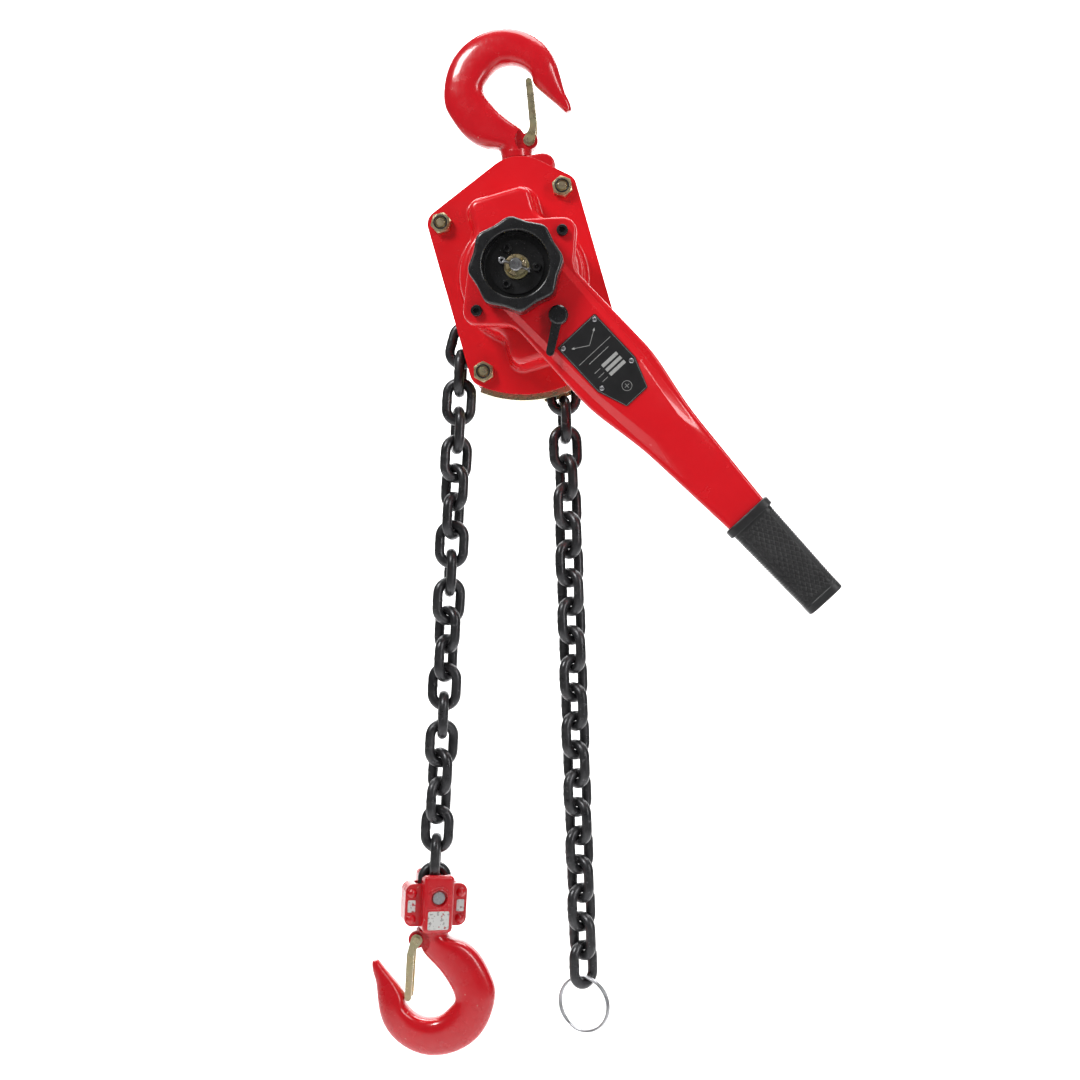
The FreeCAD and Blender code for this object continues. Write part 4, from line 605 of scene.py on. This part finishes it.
def grip_pattern(along, across, width, facing):
    """How deep the moulded pattern goes: diamonds on the faces inside a plain ridged border."""
    start, end, fade_length = GRIP_START + 11, GRIP_END - 10, 2
    if not start < along < end:
        return 0.0
    border, border_groove = width - 5.2, 1.4
    rib_pitch, rib_depth = 2.6, 0.45
    pitch, stretch, groove_half, groove_depth = 5.2, 1.5, 0.16, 1.05
    fade = min(1.0, (along - start) / fade_length, (end - along) / fade_length)
    if facing < 0.6 or abs(across) > border + border_groove:
        return rib_depth * fade * (0.5 - 0.5 * math.cos(2 * math.pi * along / rib_pitch)) ** 2
    if abs(across) > border:
        return 0.75 * fade
    first = abs(((along / stretch + across) / pitch) % 1 - 0.5)
    second = abs(((along / stretch - across) / pitch) % 1 - 0.5)
    groove = max(0.0, 1 - min(first, second) / groove_half)
    return groove_depth * fade * min(1.0, groove * 1.3)


def lever_grip():
    rows, around, squareness = 300, 200, 3.4
    stations = [GRIP_START + (GRIP_END - GRIP_START) * row / (rows - 1) for row in range(rows)]
    points = []
    for along in stations:
        width, depth = grip_section(along)
        for step in range(around):
            angle = 2 * math.pi * step / around
            cosine, sine = math.cos(angle), math.sin(angle)
            reach = (abs(cosine) ** squareness + abs(sine) ** squareness) ** (-1 / squareness)
            across, out = width * reach * cosine, depth * reach * sine
            facing = abs(out) / depth
            sunk = grip_pattern(along, across, width, facing)
            scale = 1 - sunk / max(abs(across), abs(out), 6.0)
            points.append(LEVER @ (Vector((along, GRIP_MIDDLE + out * scale, across * scale)) * MM))
    faces = grid_faces(rows, around, False)
    faces.append(tuple(range(around)))
    faces.append(tuple(range((rows - 1) * around, rows * around)))
    piece = new_piece("rubber_grip", mesh_of("rubber_grip", points, faces), RUBBER, "lever")
    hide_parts("lever_grip")


# ---------------------------------------------------------------- name plate print

def strip(start, end, half):
    """A thin bar between two (along, across) points on the name plate."""
    way = Vector(end) - Vector(start)
    side = Vector((-way.y, way.x)).normalized() * half
    corners = [Vector(start) + side, Vector(end) + side, Vector(end) - side, Vector(start) - side]
    return slab_of(corners)


def slab_of(corners, back=PLATE_FRONT + 0.02, front=PLATE_FRONT - 0.07):
    """A thin slab on the plate over (along, across) corners."""
    points = []
    for depth in (back, front):
        points += [Vector((corner[0], depth, corner[1])) * MM for corner in corners]
    count = len(corners)
    faces = [tuple(range(count)), tuple(range(count, 2 * count))]
    faces += [(index, (index + 1) % count, (index + 1) % count + count, index + count)
              for index in range(count)]
    return points, faces


def arrow(start, end):
    """A shaft with a pointed head."""
    way = (Vector(end) - Vector(start)).normalized()
    side = Vector((-way.y, way.x))
    neck = Vector(end) - way * 3.0
    head = slab_of([neck + side * 1.1, Vector(end), neck - side * 1.1])
    return [strip(start, tuple(neck), 0.22), head]


def plate_marks():
    """Two arrows that show the selector's ways, rules, panels and a border: no lettering."""
    border = [(80, -22.4), (133.5, -22.4), (161, -12.6), (161, 12.6), (133.5, 22.4), (80, 22.4)]
    parts = [strip(start, end, 0.11) for start, end in zip(border, border[1:] + border[:1])]
    turning_point = (97.5, 0)
    for side in (-1, 1):
        parts += arrow(turning_point, (88.5, side * 14.5))
    parts += [strip((104.5, -19.5), (104.5, 19.5), 0.22), strip((110, -12), (110, 12), 0.25)]
    first_box, box_step, box_high, rule_middle = 118, 5.2, 3.3, 1.7
    for row in range(3):
        along = first_box + box_step * row
        top = along + box_high
        parts.append(slab_of([(along, -4.5), (top, -4.5), (top, 14), (along, 14)]))
        parts.append(strip((along + rule_middle, -14), (along + rule_middle, -7), 0.22))
    middle_along, radius, arm, half_line = 148, 4.6, 2.6, 0.2
    ring = [Vector((middle_along + radius * math.cos(step * math.pi / 12),
                    radius * math.sin(step * math.pi / 12))) for step in range(24)]
    parts += [strip(tuple(start), tuple(end), half_line)
              for start, end in zip(ring, ring[1:] + ring[:1])]
    parts += [strip((middle_along - arm, 0), (middle_along + arm, 0), half_line),
              strip((middle_along, -arm), (middle_along, arm), half_line)]
    shape = placed(joined(parts), LEVER)
    new_piece("name_plate_marks", mesh_of("name_plate_marks", *shape, smooth=False), PRINT, "lever")


# ---------------------------------------------------------------- hook block

def rounded_panel(left, right, bottom, top, depth, thick, corner=1.6):
    """A slightly pillowed panel standing on the block's face."""
    outline = []
    for cx, cz, first in ((right, top, 0), (left, top, 90), (left, bottom, 180), (right, bottom, 270)):
        inset_x = corner if cx == left else -corner
        inset_z = corner if cz == bottom else -corner
        for step in range(5):
            angle = math.radians(first + 22.5 * step)
            outline.append((cx + inset_x + corner * math.cos(angle),
                            cz + inset_z + corner * math.sin(angle)))
    count = len(outline)
    centre = ((left + right) / 2, (bottom + top) / 2)
    points = []
    for level, shrink in ((0.3, 1.0), (-thick * 0.7, 1.0), (-thick, 0.93)):
        points += [Vector((centre[0] + (x - centre[0]) * shrink, depth + level,
                           centre[1] + (z - centre[1]) * shrink)) * MM for x, z in outline]
    faces = grid_faces(3, count, False)
    faces += [tuple(range(count)), tuple(range(2 * count, 3 * count))]
    return points, faces


def hook_block():
    """Worn silver label patches, the lip round the pin and the crease across each half."""
    thick, ear_middle, ear_half = 0.35, 24.5, 3.8
    panels = [rounded_panel(-10.6, 10.6, -30.4, -12.4, BLOCK_FRONT, thick)]
    panels += [rounded_panel(side * ear_middle - ear_half, side * ear_middle + ear_half, -15.6, -3.8,
                             BLOCK_CHEEK, thick, 1.2) for side in (-1, 1)]
    flipped = Matrix.Rotation(math.pi, 4, "Z")
    both = [placed(panel, side) for panel in panels for side in (Matrix.Identity(4), flipped)]
    new_piece("block_patches", mesh_of("block_patches", *placed(joined(both), BLOCK)), SILVER,
              "hook_block")
    lips = []
    for turn in (Matrix.Identity(4), flipped):
        for radius in (9.0, 11.4):
            path = []
            for step in range(33):
                angle = math.radians(22 + 136 * step / 32)
                path.append(Vector((radius * math.cos(angle), BLOCK_FRONT - 0.1,
                                    radius * math.sin(angle))) * MM)
            radii = [0.6 * MM * math.sin(math.pi * (step + 1.5) / 35) ** 0.4 for step in range(33)]
            lips.append(placed(tube(path, radii, 10), turn))
        crease = [Vector((-11.4 + 22.8 * step / 16, BLOCK_FRONT + 0.3, -9.8)) * MM for step in range(17)]
        lips.append(placed(tube(crease, [0.9 * MM] * 17, 10), turn))
    new_piece("block_lips", mesh_of("block_lips", *placed(joined(lips), BLOCK)), CRIMSON, "hook_block")


def springs():
    for name, place, body in (("top_latch_spring", TOP_HOOK, "top_hook_body"),
                              ("load_latch_spring", LOAD_HOOK, "load_hook_body")):
        path = latch_spring_path()
        shape = tube(path, [SPRING_WIRE * MM] * len(path), 10)
        new_piece(name, mesh_of(name, *placed(shape, place)), STEEL, body)


# ---------------------------------------------------------------- nuts

def nut_gap_shade():
    """A dark ring in each stay nut round the stud's end: painted shade in the gap between the nut's collar and the
    stud.
    """
    rings = []
    for group in islands(frame["nodes"]["stay_nuts"].data):
        corners = [corner for triangle in group for corner in triangle]
        low = [min(corner[axis] for corner in corners) for axis in range(3)]
        high = [max(corner[axis] for corner in corners) for axis in range(3)]
        outer = low[1] if low[1] + high[1] < 0 else high[1]
        centre = Vector(((low[0] + high[0]) / 2, outer, (low[2] + high[2]) / 2))
        circle = [centre + Vector((math.cos(step * math.pi / 16), 0, math.sin(step * math.pi / 16)))
                  * GAP_SHADE_RADIUS * MM for step in range(32)]
        rings.append(tube(circle, [GAP_SHADE_WIRE * MM] * 32, 8, closed=True))
    new_piece("nut_gap_shade", mesh_of("nut_gap_shade", *joined(rings)), OXIDE, "housing")


# ---------------------------------------------------------------- studio

def area_light(name, place, target, size, power, colour=(1, 1, 1)):
    data = bpy.data.lights.new(name, "AREA")
    data.shape = "RECTANGLE"
    data.size, data.size_y = size
    data.energy = power
    data.color = colour
    light = bpy.data.objects.new(name, data)
    light.location = place
    light.rotation_euler = (Vector(target) - Vector(place)).to_track_quat("-Z", "Y").to_euler()
    bpy.context.scene.collection.objects.link(light)


def studio():
    """A pale floor that curves up into a backdrop, and soft light from above and both sides."""
    floor_level = CAD_BOX[0][2] - 0.5
    profile = [(-4.0, 0.0), (1.6, 0.0)]
    profile += [(1.6 + 1.2 * math.sin(angle), 1.2 - 1.2 * math.cos(angle))
                for angle in [math.radians(step * 6) for step in range(1, 16)]]
    profile.append((2.8, 5.0))
    points = []
    for depth, rise in profile:
        points += [Vector((side * 5, depth, floor_level + rise)) for side in (-1, 1)]
    faces = [(index * 2, index * 2 + 1, index * 2 + 3, index * 2 + 2) for index in range(len(profile) - 1)]
    mesh = mesh_of("studio_floor", points, faces)
    floor = bpy.data.objects.new("studio_floor", mesh)
    bpy.context.scene.collection.objects.link(floor)
    mesh.materials.append(studio_white())
    world = bpy.data.worlds.new("studio")
    world.use_nodes = True
    world.node_tree.nodes["Background"].inputs["Color"].default_value = (1, 1, 1, 1)
    world.node_tree.nodes["Background"].inputs["Strength"].default_value = 0.13
    bpy.context.scene.world = world
    heart = (0.03, 0, -0.45)
    area_light("key", (-1.2, -1.5, 1.2), heart, (0.7, 0.7), 34)
    area_light("fill", (1.5, -1.3, 0.1), heart, (0.3, 1.6), 14)
    area_light("top", (0.1, 0.1, 1.4), heart, (1.4, 0.9), 20)
    area_light("backdrop", (0, 1.2, 1.3), (0, 2.6, -0.4), (3.0, 1.0), 150)
    bpy.context.scene.view_settings.view_transform = "Standard"


def camera():
    """Level with the middle of the picture and a few degrees round towards the lever's side."""
    distance, azimuth, view_width = 1.514, math.radians(4), 38.5
    target = Vector((0.0294, 0, -0.465))
    data = bpy.data.cameras.new("camera")
    data.sensor_width = 36
    data.lens = data.sensor_width / 2 / math.tan(math.radians(view_width / 2))
    eye = bpy.data.objects.new("camera", data)
    eye.location = target + Vector((math.sin(azimuth), -math.cos(azimuth), 0)) * distance
    eye.rotation_euler = (target - eye.location).to_track_quat("-Z", "Y").to_euler()
    bpy.context.scene.collection.objects.link(eye)
    bpy.context.scene.camera = eye


dress_nodes()
chains()
split_ring()
springs()
lever_grip()
plate_marks()
hook_block()
nut_gap_shade()
studio()
camera()
